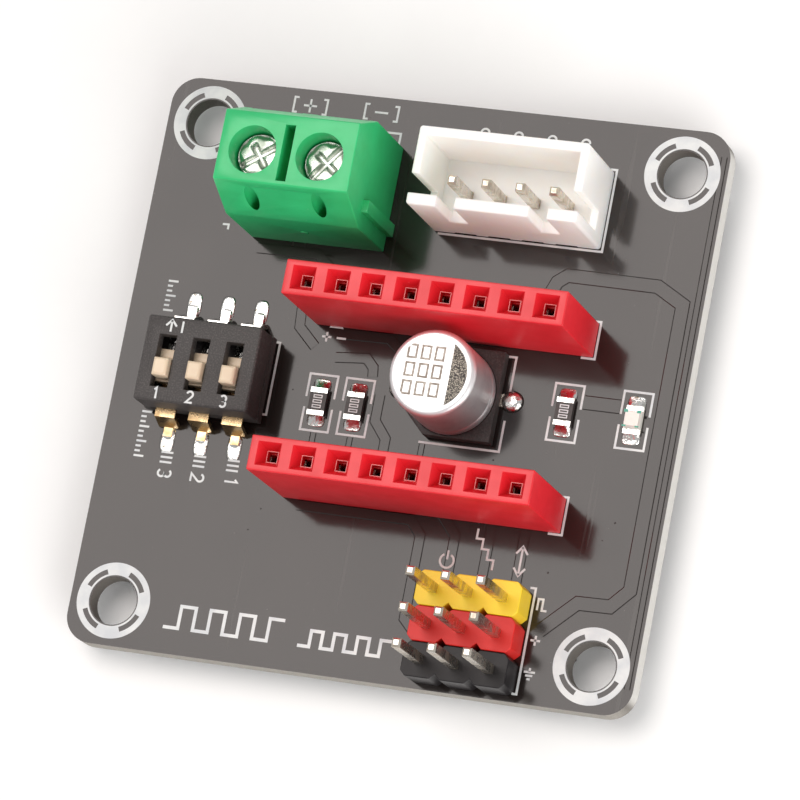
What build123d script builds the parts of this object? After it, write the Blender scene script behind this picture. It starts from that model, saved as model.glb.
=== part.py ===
from build123d import *
import os

# Carrier board for a plug-in stepper driver: a square circuit board with two socket rows for the
# driver stick, a screw terminal for the supply, a shrouded plug for the motor, a switch bank,
# a supply capacitor, three resistors, a lamp and a block of control pins.
# Origin: centre of the four mounting holes, on the underside of the board. +Z is the component
# side, +Y points at the edge with the terminal and the motor plug. Millimetres.

# ---- circuit board
BOARD_SIDE = 42.0
BOARD_THICKNESS = 1.6
BOARD_CORNER_R = 2.0
MOUNT_EDGE_INSET = 3.25
MOUNT_SPACING = BOARD_SIDE - 2 * MOUNT_EDGE_INSET
MOUNT_DIA = 3.5

# ---- shared pin and solder sizes
PITCH = 2.54
PIN_SIDE = 0.64
PIN_TIP_CHAMFER = 0.14
TAIL_BELOW = 1.5
DRILL_SLACK = 0.12
SOLDER_HEIGHT = 1.0
SOLDER_COLLAR = 0.42
SOLDER_NECK = 0.06

# ---- clearances between pieces that slide or drop into each other
SLIDE_GAP = 0.1
SEAT_GAP = 0.03
PLASTIC_EDGE = 0.12

# ---- socket rows for the driver stick
SOCKET_WAYS = 8
SOCKET_ROW_STEPS = 5
SOCKET_ROW_SPACING = SOCKET_ROW_STEPS * PITCH
SOCKET_X = 3.5
SOCKET_UPPER_Y = 5.15
SOCKET_HEIGHT = 8.5
SOCKET_DEPTH = 2.5
SOCKET_END_EXTRA = 0.14
FUNNEL_MOUTH = 1.7
FUNNEL_THROAT = 0.8
FUNNEL_DROP = 1.0
FUNNEL_LAND = 0.7
CONTACT_WIDTH = 1.3
CONTACT_THICKNESS = 0.4
CONTACT_LEAF = 0.32
CONTACT_GRIP = 0.5
CONTACT_ROOT = 1.3

# ---- control pin block, three strips of three
STRIP_WAYS = 3
STRIP_X = 8.8
STRIP_EDGE_MARGIN = 4.2
STRIP_MIDDLE_Y = STRIP_EDGE_MARGIN - BOARD_SIDE / 2
STRIP_HEIGHT = 2.54
STRIP_CHAMFER = 0.55
STRIP_GAP = 0.04
PIN_ABOVE_STRIP = 5.8

# ---- motor plug, four ways
MOTOR_PITCH = 2.5
MOTOR_WAYS = 4
MOTOR_X = 6.65
MOTOR_EDGE_MARGIN = 3.6
MOTOR_DEPTH = 5.75
MOTOR_FRONT_Y = BOARD_SIDE / 2 - MOTOR_EDGE_MARGIN - MOTOR_DEPTH
MOTOR_HEIGHT = 7.0
MOTOR_END_MARGIN = 2.48
MOTOR_FRONT_WALL = 0.85
MOTOR_BACK_WALL = 0.7
MOTOR_END_WALL = 0.6
MOTOR_FLOOR = 1.1
MOTOR_PIN_INSET = 2.5
MOTOR_PIN_REACH = 5.4
MOTOR_SLOT_WIDTH = 1.33
MOTOR_SLOT_INSET = 0.36
MOTOR_SLOT_SILL = 3.1
MOTOR_NOTCH_WIDTH = 1.4
MOTOR_NOTCH_SILL = 2.1
MOTOR_VENT = (1.55, 0.8, 0.2)

# ---- supply terminal, two poles
POLE_PITCH = 5.0
POLES = 2
TERMINAL_X = -7.9
TERMINAL_EDGE_MARGIN = 3.55
TERMINAL_DEPTH = 7.75
TERMINAL_FRONT_Y = BOARD_SIDE / 2 - TERMINAL_EDGE_MARGIN - TERMINAL_DEPTH
TERMINAL_HEIGHT = 10.0
SLOPE_START = 6.1
SLOPE_RUN = 1.5
BEVEL_START = 6.5
BEVEL_RUN = 1.2
CHAMBER_PARTITION = 1.1
CHAMBER_WIDTH = POLE_PITCH - CHAMBER_PARTITION
CHAMBER_BACK = 1.5
TERMINAL_FLOOR = 0.8
CHAMBER_HEIGHT = 6.1
SHELF = 0.6
SCREW_SHANK_DIA = 2.4
SCREW_HEAD_OVERHANG = 0.35
SCREW_HEAD_DIA = SCREW_SHANK_DIA + 2 * SCREW_HEAD_OVERHANG
SCREW_HEAD_THICKNESS = 0.8
WELL_GAP = 0.2
WELL_DIA = SCREW_HEAD_DIA + 2 * WELL_GAP
SCREW_THREAD_GAP = 0.05
SCREW_SLOT_WIDTH = 0.45
SCREW_SLOT_DEPTH = 0.4
SHELF_BORE_GAP = 0.2
CAGE_WALL = 0.45
CAGE_ROOF = 0.8
CAGE_SILL = 0.5
CAGE_MOUTH = 2.6
CAGE_END_WALL = 0.4
CAGE_LENGTH = SCREW_SHANK_DIA + 2 * CAGE_END_WALL
STRAP_GAP = 0.2
STRAP_WIDTH = CHAMBER_WIDTH - 2 * (SLIDE_GAP + CAGE_WALL + STRAP_GAP)
STRAP_THICKNESS = 0.6
STRAP_LEVEL = 2.4
STRAP_LENGTH = 4.9
TERMINAL_TAIL_WIDTH = 1.0
DIVIDER_SLOT = (0.75, 4.1, 2.2)
PROBE_DIA = 1.0
PROBE_INSET = 0.8
PROBE_DEPTH = 6.0
RIB_DEPTH = 0.45
RIB_WIDTH = 0.9
RIB_INSET = 1.6
RIB_HEIGHT = 6.3
GATE_MARK_DIA = 0.6

# ---- switch bank, three ways
SWITCH_WAYS = 3
SWITCH_EDGE_MARGIN = 7.4
SWITCH_X = SWITCH_EDGE_MARGIN - BOARD_SIDE / 2
SWITCH_Y = -0.75
SWITCH_END_MARGIN = 1.76
SWITCH_WIDTH = (SWITCH_WAYS - 1) * PITCH + 2 * SWITCH_END_MARGIN
SWITCH_DEPTH = 6.2
SWITCH_STANDOFF = 0.5
SWITCH_BASE = 0.8
SWITCH_COVER = 2.6
COVER_WALL = 0.45
COVER_ROOF = 0.9
SWITCH_SLOT = (1.3, 3.5)
SLIDER_TRAVEL = 1.35
KNOB_LENGTH = 1.3
KNOB_PROUD = 0.6
SLIDER_FOOT = (1.7, 2.3)
SLIDER_TAIL = 0.45
WIPER_LENGTH = 1.6
WIPER_WIDTH = 0.8
WIPER_THICKNESS = 0.15
WIPER_ARCH = 0.3
WIPER_GAP = 0.05
LEAD_SHOULDER = 1.5
LEAD_FOOT_WIDTH = 0.66
LEAD_THICKNESS = 0.25
LEAD_SHOULDER_REACH = 0.6
LEAD_RUN = 0.45
LEAD_FOOT = 0.65
FRONT_LEAD_INNER = 0.0
BACK_LEAD_INNER = 0.45

# ---- supply capacitor
CAP_X = 4.45
CAP_DIA = 6.3
CAP_HEIGHT = 6.35
CAP_WALL = 0.3
CAP_BASE_LEDGE = 0.15
CAP_BASE_SIDE = CAP_DIA + 2 * CAP_BASE_LEDGE
CAP_SOCKET_GAP = 0.55
CAP_Y = SOCKET_UPPER_Y - SOCKET_DEPTH / 2 - CAP_SOCKET_GAP - CAP_BASE_SIDE / 2
CAP_BASE_THICKNESS = 1.0
CAP_BASE_CHAMFER = 1.7
CAP_BASE_CRADLE = 0.25
CAP_TOP_R = 0.35
CAP_FOOT_R = 0.5
CAP_SEAL = 1.2
CAP_LEAD_WIDTH = 0.9
CAP_LEAD_THICKNESS = 0.2
CAP_LEAD_OVERHANG = 0.75
CAP_LEAD_START = 0.7
CAP_WIRE = 0.45
CAP_WIRE_INSET = 1.0

# ---- chip resistors and lamp, all lying along Y
CHIP_LENGTH = 2.0
CHIP_WIDTH = 1.25
CHIP_CAP = 0.35
CHIP_CAP_THICKNESS = 0.05
RESISTOR_HEIGHT = 0.5
RESISTOR_PLACES = ((-5.45, -1.72), (-2.7, -1.72), (12.55, -0.26))
LAMP_EDGE_MARGIN = 3.43
LAMP_PLACE = (BOARD_SIDE / 2 - LAMP_EDGE_MARGIN, -0.22)
LAMP_BOARD = 0.3
LAMP_LENS_HEIGHT = 0.5
LAMP_LENS_LENGTH = 1.25
LAMP_CHIP = (0.3, 0.3, 0.12)

TOP = BOARD_THICKNESS
os.makedirs("parts", exist_ok=True)


def about(middle, width):
    """The (low, high) pair of a width laid evenly about a middle."""
    return (middle - width / 2, middle + width / 2)


def block(x, y, z):
    """A box between three (low, high) pairs."""
    pairs = (x, y, z)
    size = [high - low for low, high in pairs]
    middle = [(high + low) / 2 for low, high in pairs]
    return Pos(*middle) * Box(*size)


def rod(x, y, z, diameter):
    """An upright cylinder over the (low, high) pair z."""
    low, high = z
    return Pos(x, y, (low + high) / 2) * Cylinder(diameter / 2, high - low)


def along_x(points, x):
    """A solid with its outline in (y, z) and its length over the (low, high) pair x."""
    low, high = x
    outline = Plane.YZ.offset(low) * Polygon(*points, align=None)
    return extrude(outline, amount=high - low, dir=(1, 0, 0))


def along_y(points, y):
    """A solid with its outline in (x, z) and its length over the (low, high) pair y."""
    low, high = y
    outline = Plane.XZ.offset(-low) * Polygon(*points, align=None)
    return extrude(outline, amount=high - low, dir=(0, 1, 0))


def highest(solid):
    """The edges round the topmost face."""
    return solid.faces().sort_by(Axis.Z)[-1].edges()


def lowest(solid):
    """The edges round the bottommost face."""
    return solid.faces().sort_by(Axis.Z)[0].edges()


def square_pin(x, y, low, high, side=PIN_SIDE):
    """A square pin with both ends tapered."""
    bar = block(about(x, side), about(y, side), (low, high))
    bar = chamfer(highest(bar), PIN_TIP_CHAMFER)
    return chamfer(lowest(bar), PIN_TIP_CHAMFER)


def row(count, pitch, middle=0.0):
    """Places of a row of a few ways laid evenly about a middle."""
    return [middle + (number - (count - 1) / 2) * pitch for number in range(count)]


def save(name, shapes):
    """Writes one node from one solid or from a list of separate solids."""
    solids = [solid for shape in shapes for solid in shape.solids()]
    for solid in solids:
        solid.label = name
    export_step(solids[0] if len(solids) == 1 else Compound(solids), f"parts/{name}.step")


# ---- places that several pieces share
socket_xs = row(SOCKET_WAYS, PITCH, SOCKET_X)
socket_ys = (SOCKET_UPPER_Y, SOCKET_UPPER_Y - SOCKET_ROW_SPACING)
strip_xs = row(STRIP_WAYS, PITCH, STRIP_X)
strip_ys = row(STRIP_WAYS, -PITCH, STRIP_MIDDLE_Y)
motor_xs = row(MOTOR_WAYS, MOTOR_PITCH, MOTOR_X)
motor_pin_y = MOTOR_FRONT_Y + MOTOR_PIN_INSET
pole_xs = row(POLES, POLE_PITCH, TERMINAL_X)
switch_xs = row(SWITCH_WAYS, PITCH, SWITCH_X)

terminal_back_y = TERMINAL_FRONT_Y + TERMINAL_DEPTH
chamber_front_y = TERMINAL_FRONT_Y + CHAMBER_BACK
strap_y = (chamber_front_y + SEAT_GAP, chamber_front_y + SEAT_GAP + STRAP_LENGTH)
tail_y = (strap_y[0], strap_y[0] + STRAP_THICKNESS)
cage_y = (tail_y[1] + SLIDE_GAP, tail_y[1] + SLIDE_GAP + CAGE_LENGTH)
screw_y = sum(cage_y) / 2
chamber_floor_z = TOP + TERMINAL_FLOOR
chamber_roof_z = chamber_floor_z + CHAMBER_HEIGHT
cage_floor_z = chamber_floor_z + SLIDE_GAP
strap_z = (chamber_floor_z + STRAP_LEVEL, chamber_floor_z + STRAP_LEVEL + STRAP_THICKNESS)
shelf_top_z = chamber_roof_z + SHELF


def drill(section_x, section_y):
    """Diameter of the board hole for a tail of that section."""
    return (section_x**2 + section_y**2) ** 0.5 + DRILL_SLACK


def tails():
    """Every tail through the board: place and section."""
    found = [(x, y, PIN_SIDE, CONTACT_THICKNESS) for y in socket_ys for x in socket_xs]
    found += [(x, y, PIN_SIDE, PIN_SIDE) for y in strip_ys for x in strip_xs]
    found += [(x, motor_pin_y, PIN_SIDE, PIN_SIDE) for x in motor_xs]
    found += [(x, sum(tail_y) / 2, TERMINAL_TAIL_WIDTH, STRAP_THICKNESS) for x in pole_xs]
    return found


def make_board():
    """The bare board with its mounting holes and the drillings for every tail."""
    outline = RectangleRounded(BOARD_SIDE, BOARD_SIDE, BOARD_CORNER_R)
    board = extrude(outline, amount=BOARD_THICKNESS)
    through = (-BOARD_THICKNESS, 2 * BOARD_THICKNESS)
    for x in row(2, MOUNT_SPACING):
        for y in row(2, MOUNT_SPACING):
            board -= rod(x, y, through, MOUNT_DIA)
    for x, y, section_x, section_y in tails():
        board -= rod(x, y, through, drill(section_x, section_y))
    return board


def make_solder():
    """A cone of solder round every tail on the underside of the board."""
    cones = []
    for x, y, section_x, section_y in tails():
        neck = drill(section_x, section_y) / 2 - DRILL_SLACK / 2 + SOLDER_NECK
        cone = Cone(neck, neck + SOLDER_COLLAR, SOLDER_HEIGHT)
        cone = Pos(x, y, -SOLDER_HEIGHT / 2) * cone
        cones.append(cone - block(about(x, section_x), about(y, section_y), (-TAIL_BELOW, TOP)))
    return cones


def make_socket_housing(y):
    """A socket strip: a funnel, a short throat and a contact chamber for every way."""
    length = SOCKET_WAYS * PITCH + 2 * SOCKET_END_EXTRA
    roof = TOP + SOCKET_HEIGHT
    throat_z = roof - FUNNEL_DROP
    chamber_z = throat_z - FUNNEL_LAND
    housing = block(about(SOCKET_X, length), about(y, SOCKET_DEPTH), (TOP, roof))
    housing = chamfer(housing.edges(), PLASTIC_EDGE / 2)
    for x in socket_xs:
        mouth = Pos(x, y, roof) * Rectangle(FUNNEL_MOUTH, FUNNEL_MOUTH)
        throat = Pos(x, y, throat_z) * Rectangle(FUNNEL_THROAT, FUNNEL_THROAT)
        housing -= loft([mouth, throat])
        housing -= block(about(x, FUNNEL_THROAT), about(y, FUNNEL_THROAT), (chamber_z, throat_z))
        chamber_x = about(x, CONTACT_WIDTH + 2 * SLIDE_GAP)
        chamber_y = about(y, CONTACT_THICKNESS + 2 * SLIDE_GAP)
        housing -= block(chamber_x, chamber_y, (TOP, chamber_z))
    return housing


def make_socket_contact(x, y):
    """A fork that grips the pin of the stick, with its tail through the board."""
    tip = TOP + SOCKET_HEIGHT - FUNNEL_DROP - FUNNEL_LAND - SLIDE_GAP
    root = TOP + CONTACT_ROOT
    half = CONTACT_WIDTH / 2
    inner = half - CONTACT_LEAF
    grip = CONTACT_GRIP / 2
    tail = PIN_SIDE / 2
    right = [(tail, -TAIL_BELOW), (tail, TOP + SLIDE_GAP), (half, TOP + SLIDE_GAP), (half, tip)]
    right += [(inner, tip), (grip, tip - 4 * CONTACT_LEAF), (inner, tip - 8 * CONTACT_LEAF)]
    right += [(inner, root)]
    left = [(-across, z) for across, z in reversed(right)]
    outline = [(x + across, z) for across, z in right + left]
    return along_y(outline, about(y, CONTACT_THICKNESS))


def make_strip(y):
    """A header strip of eight-sided cells, with a square bore for every pin."""
    strip = None
    for x in strip_xs:
        cell = Rectangle(PITCH, PITCH - STRIP_GAP)
        cell = chamfer(cell.vertices(), STRIP_CHAMFER)
        cell = Pos(x, y, TOP) * extrude(cell, amount=STRIP_HEIGHT)
        strip = cell if strip is None else strip + cell
    strip = chamfer(highest(strip), PLASTIC_EDGE)
    for x in strip_xs:
        strip -= block(about(x, PIN_SIDE), about(y, PIN_SIDE), (0, TOP + 2 * STRIP_HEIGHT))
    return strip


def make_motor_shroud():
    """The open-topped box of the motor plug, with keying slots in front and notched ends."""
    length = (MOTOR_WAYS - 1) * MOTOR_PITCH + 2 * MOTOR_END_MARGIN
    back = MOTOR_FRONT_Y + MOTOR_DEPTH
    rim = TOP + MOTOR_HEIGHT
    x = about(MOTOR_X, length)
    shroud = block(x, (MOTOR_FRONT_Y, back), (TOP, rim))
    shroud = fillet(shroud.edges().filter_by(Axis.Z), 2 * PLASTIC_EDGE)
    inside_x = (x[0] + MOTOR_END_WALL, x[1] - MOTOR_END_WALL)
    inside_y = (MOTOR_FRONT_Y + MOTOR_FRONT_WALL, back - MOTOR_BACK_WALL)
    above = rim + MOTOR_HEIGHT
    shroud -= block(inside_x, inside_y, (TOP + MOTOR_FLOOR, above))
    slot_offset = (MOTOR_WAYS - 1) * MOTOR_PITCH / 2 - MOTOR_SLOT_INSET
    for slot_x in (MOTOR_X - slot_offset, MOTOR_X + slot_offset):
        wall_y = (MOTOR_FRONT_Y - MOTOR_FRONT_WALL, inside_y[0] + SLIDE_GAP)
        shroud -= block(about(slot_x, MOTOR_SLOT_WIDTH), wall_y, (TOP + MOTOR_SLOT_SILL, above))
    notch_y = (inside_y[0], inside_y[0] + MOTOR_NOTCH_WIDTH)
    shroud -= block(about(MOTOR_X, 2 * length), notch_y, (TOP + MOTOR_NOTCH_SILL, above))
    vent_width, vent_run, vent_height = MOTOR_VENT
    for pin_x in motor_xs:
        vent_y = (MOTOR_FRONT_Y - vent_run, MOTOR_FRONT_Y + vent_run)
        shroud -= block(about(pin_x, vent_width), vent_y, (0, TOP + vent_height))
        shroud -= block(about(pin_x, PIN_SIDE), about(motor_pin_y, PIN_SIDE), (0, rim))
    return shroud


def make_terminal_housing():
    """The green block: sloped front, bevelled wire side, wells, chambers and an interlock rib."""
    width = POLES * POLE_PITCH
    roof = TOP + TERMINAL_HEIGHT
    front = TERMINAL_FRONT_Y
    back = terminal_back_y
    outline = [(front, TOP), (front, TOP + SLOPE_START), (front + SLOPE_RUN, roof)]
    outline += [(back - BEVEL_RUN, roof), (back, TOP + BEVEL_START), (back, TOP)]
    x = about(TERMINAL_X, width)
    housing = along_x(outline, x)
    housing = chamfer(housing.edges(), PLASTIC_EDGE / 2)
    rib_y = about(front + RIB_INSET, RIB_WIDTH)
    rib_z = (TOP, TOP + RIB_HEIGHT)
    housing += block((x[1] - RIB_DEPTH, x[1] + RIB_DEPTH), rib_y, rib_z)
    groove_y = about(front + RIB_INSET, RIB_WIDTH + 2 * SLIDE_GAP)
    groove_x = (x[0] - RIB_DEPTH, x[0] + RIB_DEPTH + SLIDE_GAP)
    housing -= block(groove_x, groove_y, (0, rib_z[1] + SLIDE_GAP))
    slot_width, slot_length, slot_depth = DIVIDER_SLOT
    slot_y = about(screw_y, slot_length)
    housing -= block(about(TERMINAL_X, slot_width), slot_y, (roof - slot_depth, roof + SHELF))
    for pole_x in pole_xs:
        chamber_y = (chamber_front_y, back + CHAMBER_BACK)
        chamber_z = (chamber_floor_z, chamber_roof_z)
        housing -= block(about(pole_x, CHAMBER_WIDTH), chamber_y, chamber_z)
        housing -= rod(pole_x, screw_y, (shelf_top_z, roof + SHELF), WELL_DIA)
        shelf_bore = SCREW_SHANK_DIA + 2 * SHELF_BORE_GAP
        housing -= rod(pole_x, screw_y, (chamber_roof_z - SHELF, roof), shelf_bore)
        housing -= rod(pole_x, front + PROBE_INSET, (roof - PROBE_DEPTH, roof), PROBE_DIA)
        tail_x = about(pole_x, TERMINAL_TAIL_WIDTH + 2 * SEAT_GAP)
        tail_slot_y = (tail_y[0] - SEAT_GAP, tail_y[1] + SEAT_GAP)
        housing -= block(tail_x, tail_slot_y, (0, chamber_floor_z + SEAT_GAP))
    mark_z = TOP + SLOPE_START / 2
    mark = Pos(TERMINAL_X, front, mark_z) * Rot(90, 0, 0) * Cylinder(GATE_MARK_DIA / 2, PLASTIC_EDGE)
    return housing + mark


def make_terminal_screw(x):
    """A clamp screw: domed head with a crossed slot, and a plain shank for the thread."""
    head_z = (shelf_top_z + SLIDE_GAP, shelf_top_z + SLIDE_GAP + SCREW_HEAD_THICKNESS)
    head = rod(x, screw_y, head_z, SCREW_HEAD_DIA)
    head = fillet(highest(head), PLASTIC_EDGE)
    cut_z = (head_z[1] - SCREW_SLOT_DEPTH, head_z[1] + SCREW_SLOT_DEPTH)
    head -= block(about(x, 2 * SCREW_HEAD_DIA), about(screw_y, SCREW_SLOT_WIDTH), cut_z)
    cross = SCREW_HEAD_DIA / 2 + SCREW_SLOT_WIDTH
    head -= block(about(x, SCREW_SLOT_WIDTH), about(screw_y, cross), cut_z)
    shank_z = (strap_z[1] + SLIDE_GAP, head_z[0] + SLIDE_GAP)
    return head + rod(x, screw_y, shank_z, SCREW_SHANK_DIA)


def make_terminal_cage(x):
    """The rising cage: a square tube along Y with the screw's hole in its roof."""
    width = CHAMBER_WIDTH - 2 * SLIDE_GAP
    roof = cage_floor_z + CAGE_SILL + CAGE_MOUTH + CAGE_ROOF
    cage = block(about(x, width), cage_y, (cage_floor_z, roof))
    cage = fillet(cage.edges().filter_by(Axis.Y), CAGE_WALL / 2)
    mouth_z = (cage_floor_z + CAGE_SILL, roof - CAGE_ROOF)
    cage -= block(about(x, width - 2 * CAGE_WALL), (cage_y[0] - 1, cage_y[1] + 1), mouth_z)
    bore = SCREW_SHANK_DIA + 2 * SCREW_THREAD_GAP
    return cage - rod(x, screw_y, (mouth_z[1] - SLIDE_GAP, roof + SLIDE_GAP), bore)


def make_terminal_contact(x):
    """The fixed strap inside the cage, bent down into the tail through the board."""
    leg_x = about(x, STRAP_WIDTH)
    strap = block(leg_x, strap_y, strap_z)
    strap += block(leg_x, tail_y, (chamber_floor_z + SEAT_GAP, strap_z[1]))
    return strap + block(about(x, TERMINAL_TAIL_WIDTH), tail_y, (-TAIL_BELOW, strap_z[0]))


# ---- heights inside the switch bank
switch_x = about(SWITCH_X, SWITCH_WIDTH)
switch_y = about(SWITCH_Y, SWITCH_DEPTH)
switch_floor_z = TOP + SWITCH_STANDOFF
lead_z = (switch_floor_z + SWITCH_BASE, switch_floor_z + SWITCH_BASE + LEAD_THICKNESS)
cover_z = (lead_z[0], lead_z[0] + SWITCH_COVER)
cover_ceiling_z = cover_z[1] - COVER_ROOF
wiper_z = lead_z[1] + WIPER_GAP
slider_z = (wiper_z + WIPER_ARCH + WIPER_THICKNESS, cover_ceiling_z - SLIDE_GAP)


def make_switch_cover():
    """The lid of the switch bank: a shell with one long slot for every slider."""
    cover = block(switch_x, switch_y, cover_z)
    cover = chamfer(cover.edges(), PLASTIC_EDGE)
    inside_x = (switch_x[0] + COVER_WALL, switch_x[1] - COVER_WALL)
    inside_y = (switch_y[0] + COVER_WALL, switch_y[1] - COVER_WALL)
    cover -= block(inside_x, inside_y, (0, cover_ceiling_z))
    slot_width, slot_length = SWITCH_SLOT
    for x in switch_xs:
        cover -= block(about(x, slot_width), about(SWITCH_Y, slot_length), (TOP, 2 * cover_z[1]))
        gate_x = about(x, LEAD_SHOULDER + 2 * SEAT_GAP)
        gate_y = about(SWITCH_Y, 2 * SWITCH_DEPTH)
        cover -= block(gate_x, gate_y, (0, lead_z[1] + SEAT_GAP))
    return cover


def make_switch_base():
    """The floor of the switch bank, which the leads lie on."""
    base = block(switch_x, switch_y, (switch_floor_z, lead_z[0]))
    feet = []
    for x in (switch_x[0] + COVER_WALL, switch_x[1] - COVER_WALL):
        for y in about(SWITCH_Y, SWITCH_DEPTH / 2):
            feet.append(rod(x, y, (TOP, switch_floor_z), COVER_WALL))
    for foot in feet:
        base += foot
    return base


def make_switch_lead(x, side, inner):
    """A formed lead: flat inside, a wide shoulder outside and a narrow foot on the board."""
    half = SWITCH_DEPTH / 2
    shoulder = half + LEAD_SHOULDER_REACH
    step = shoulder + LEAD_RUN
    foot = step + LEAD_FOOT
    low, high = lead_z
    bend = LEAD_THICKNESS
    upper = [(inner, low), (inner, high), (shoulder, high), (step, TOP + bend)]
    upper += [(step, TOP), (step - bend, TOP), (shoulder - bend, low)]
    lower = [(step - bend, TOP), (step - bend, TOP + bend), (foot, TOP + bend), (foot, TOP)]
    wide = along_x([(SWITCH_Y + side * y, z) for y, z in upper], about(x, LEAD_SHOULDER))
    narrow = along_x([(SWITCH_Y + side * y, z) for y, z in lower], about(x, LEAD_FOOT_WIDTH))
    return wide + narrow


def make_slider(x):
    """A slider at its off end: foot under the cover, a low heel and a knob in the slot."""
    y = SWITCH_Y - SLIDER_TRAVEL / 2
    foot_width, foot_length = SLIDER_FOOT
    neck_width = SWITCH_SLOT[0] - 2 * SLIDE_GAP
    foot_y = (y - foot_length / 2, y + foot_length / 2 + SLIDER_TAIL)
    foot = block(about(x, foot_width), foot_y, slider_z)
    knob_z = (slider_z[0], cover_z[1] + KNOB_PROUD)
    knob = block(about(x, neck_width), about(y, KNOB_LENGTH), knob_z)
    knob = fillet(highest(knob), 2 * PLASTIC_EDGE)
    back = y + KNOB_LENGTH / 2
    heel = (SWITCH_SLOT[1] - SLIDER_TRAVEL - KNOB_LENGTH) / 2 - SLIDE_GAP
    heel_top = cover_z[1] - SLIDE_GAP
    ramp = [(y, slider_z[0]), (y, heel_top), (back, heel_top)]
    ramp += [(back + heel, slider_z[1]), (back + heel, slider_z[0])]
    return foot + knob + along_x(ramp, about(x, neck_width))


def make_wiper(x):
    """The sprung bridge under a slider that joins the two leads at the on end."""
    y = SWITCH_Y - SLIDER_TRAVEL / 2
    half = WIPER_LENGTH / 2
    third = WIPER_LENGTH / 6
    sheet = WIPER_THICKNESS
    rise = wiper_z + WIPER_ARCH
    under = [(-half, wiper_z), (-2 * third, wiper_z), (-third, rise)]
    under += [(third, rise), (2 * third, wiper_z), (half, wiper_z)]
    over = [(across, z + sheet) for across, z in reversed(under)]
    return along_x([(y + across, z) for across, z in under + over], about(x, WIPER_WIDTH))


# ---- heights inside the capacitor
can_z = (TOP + CAP_BASE_THICKNESS - CAP_BASE_CRADLE, TOP + CAP_HEIGHT)
can_bore = CAP_DIA - 2 * CAP_WALL
seal_z = (can_z[0] + CAP_WALL, can_z[0] + CAP_WALL + CAP_SEAL)
wire_top_z = seal_z[1] + CAP_WALL


def make_cap_can():
    """The drawn can: closed on top, rolled in at its foot."""
    can = rod(CAP_X, CAP_Y, can_z, CAP_DIA)
    can = fillet(highest(can), CAP_TOP_R)
    can = fillet(lowest(can), CAP_FOOT_R)
    return can - rod(CAP_X, CAP_Y, (0, can_z[1] - CAP_WALL), can_bore)


def make_cap_base():
    """The moulded foot: two cut corners on the positive side, a cradle and two lead grooves."""
    half = CAP_BASE_SIDE / 2
    foot = block(about(CAP_X, CAP_BASE_SIDE), about(CAP_Y, CAP_BASE_SIDE), (TOP, TOP + CAP_BASE_THICKNESS))
    left_edges = foot.edges().filter_by(Axis.Z).sort_by(Axis.X)[:2]
    foot = chamfer(left_edges, CAP_BASE_CHAMFER)
    cradle = CAP_DIA + 2 * SEAT_GAP
    foot -= rod(CAP_X, CAP_Y, (can_z[0], 2 * can_z[0]), cradle)
    for side in (-1, 1):
        groove = sorted((CAP_X + side * (CAP_LEAD_START - SEAT_GAP), CAP_X + side * 2 * half))
        groove_y = about(CAP_Y, CAP_LEAD_WIDTH + 2 * SEAT_GAP)
        foot -= block(groove, groove_y, (0, TOP + CAP_LEAD_THICKNESS))
        wire = CAP_WIRE + 2 * SEAT_GAP
        foot -= block(about(CAP_X + side * CAP_WIRE_INSET, wire), about(CAP_Y, wire), (0, 2 * can_z[0]))
    return foot


def make_cap_seal():
    """The rubber bung in the mouth of the can, bored for the two wires."""
    seal = rod(CAP_X, CAP_Y, seal_z, can_bore - 2 * SEAT_GAP)
    for side in (-1, 1):
        wire = CAP_WIRE + 2 * SEAT_GAP
        seal -= block(about(CAP_X + side * CAP_WIRE_INSET, wire), about(CAP_Y, wire), (0, 2 * seal_z[1]))
    return seal


def make_cap_winding():
    """The wound foil above the bung."""
    winding_z = (wire_top_z, can_z[1] - CAP_WALL - SLIDE_GAP)
    return rod(CAP_X, CAP_Y, winding_z, can_bore - 2 * SLIDE_GAP)


def make_cap_lead(side):
    """A flat lead under the foot with its wire up through the bung to the winding."""
    tip = CAP_BASE_SIDE / 2 + CAP_LEAD_OVERHANG
    run = sorted((CAP_X + side * CAP_LEAD_START, CAP_X + side * tip))
    strip = block(run, about(CAP_Y, CAP_LEAD_WIDTH), (TOP, TOP + CAP_LEAD_THICKNESS))
    wire_x = about(CAP_X + side * CAP_WIRE_INSET, CAP_WIRE)
    return strip + block(wire_x, about(CAP_Y, CAP_WIRE), (TOP, wire_top_z))


def chip_ends(place, height):
    """Two plated end caps that wrap the ends of a chip of that height."""
    x, y = place
    caps = []
    skin = CHIP_CAP_THICKNESS
    for side in (-1, 1):
        outer = y + side * CHIP_LENGTH / 2
        cap_y = sorted((outer, outer - side * CHIP_CAP))
        cap = block(about(x, CHIP_WIDTH), cap_y, (TOP, TOP + height))
        core_y = sorted((outer - side * skin, outer - side * 2 * CHIP_CAP))
        core_z = (TOP + skin, TOP + height - skin)
        caps.append(cap - block(about(x, 2 * CHIP_WIDTH), core_y, core_z))
    return caps


def chip_core(place, low, high):
    """The body between and inside the end caps of a chip."""
    x, y = place
    skin = CHIP_CAP_THICKNESS
    core = block(about(x, CHIP_WIDTH), about(y, CHIP_LENGTH - 2 * skin), (low + skin, high - skin))
    middle = CHIP_LENGTH - 2 * CHIP_CAP - 2 * SEAT_GAP
    return core + block(about(x, CHIP_WIDTH), about(y, middle), (low + skin, high))


def make_lamp_lens():
    """The clear block over the lamp's chip, narrower at its top."""
    x, y = LAMP_PLACE
    low = TOP + LAMP_BOARD
    high = low + LAMP_LENS_HEIGHT
    draft = 2 * PLASTIC_EDGE
    floor = Pos(x, y, low) * Rectangle(CHIP_WIDTH, LAMP_LENS_LENGTH)
    crown = Pos(x, y, high) * Rectangle(CHIP_WIDTH - draft, LAMP_LENS_LENGTH - draft)
    chip_width, chip_length, chip_height = LAMP_CHIP
    return loft([floor, crown]) - block(about(x, chip_width), about(y, chip_length), (low, low + chip_height))


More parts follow.
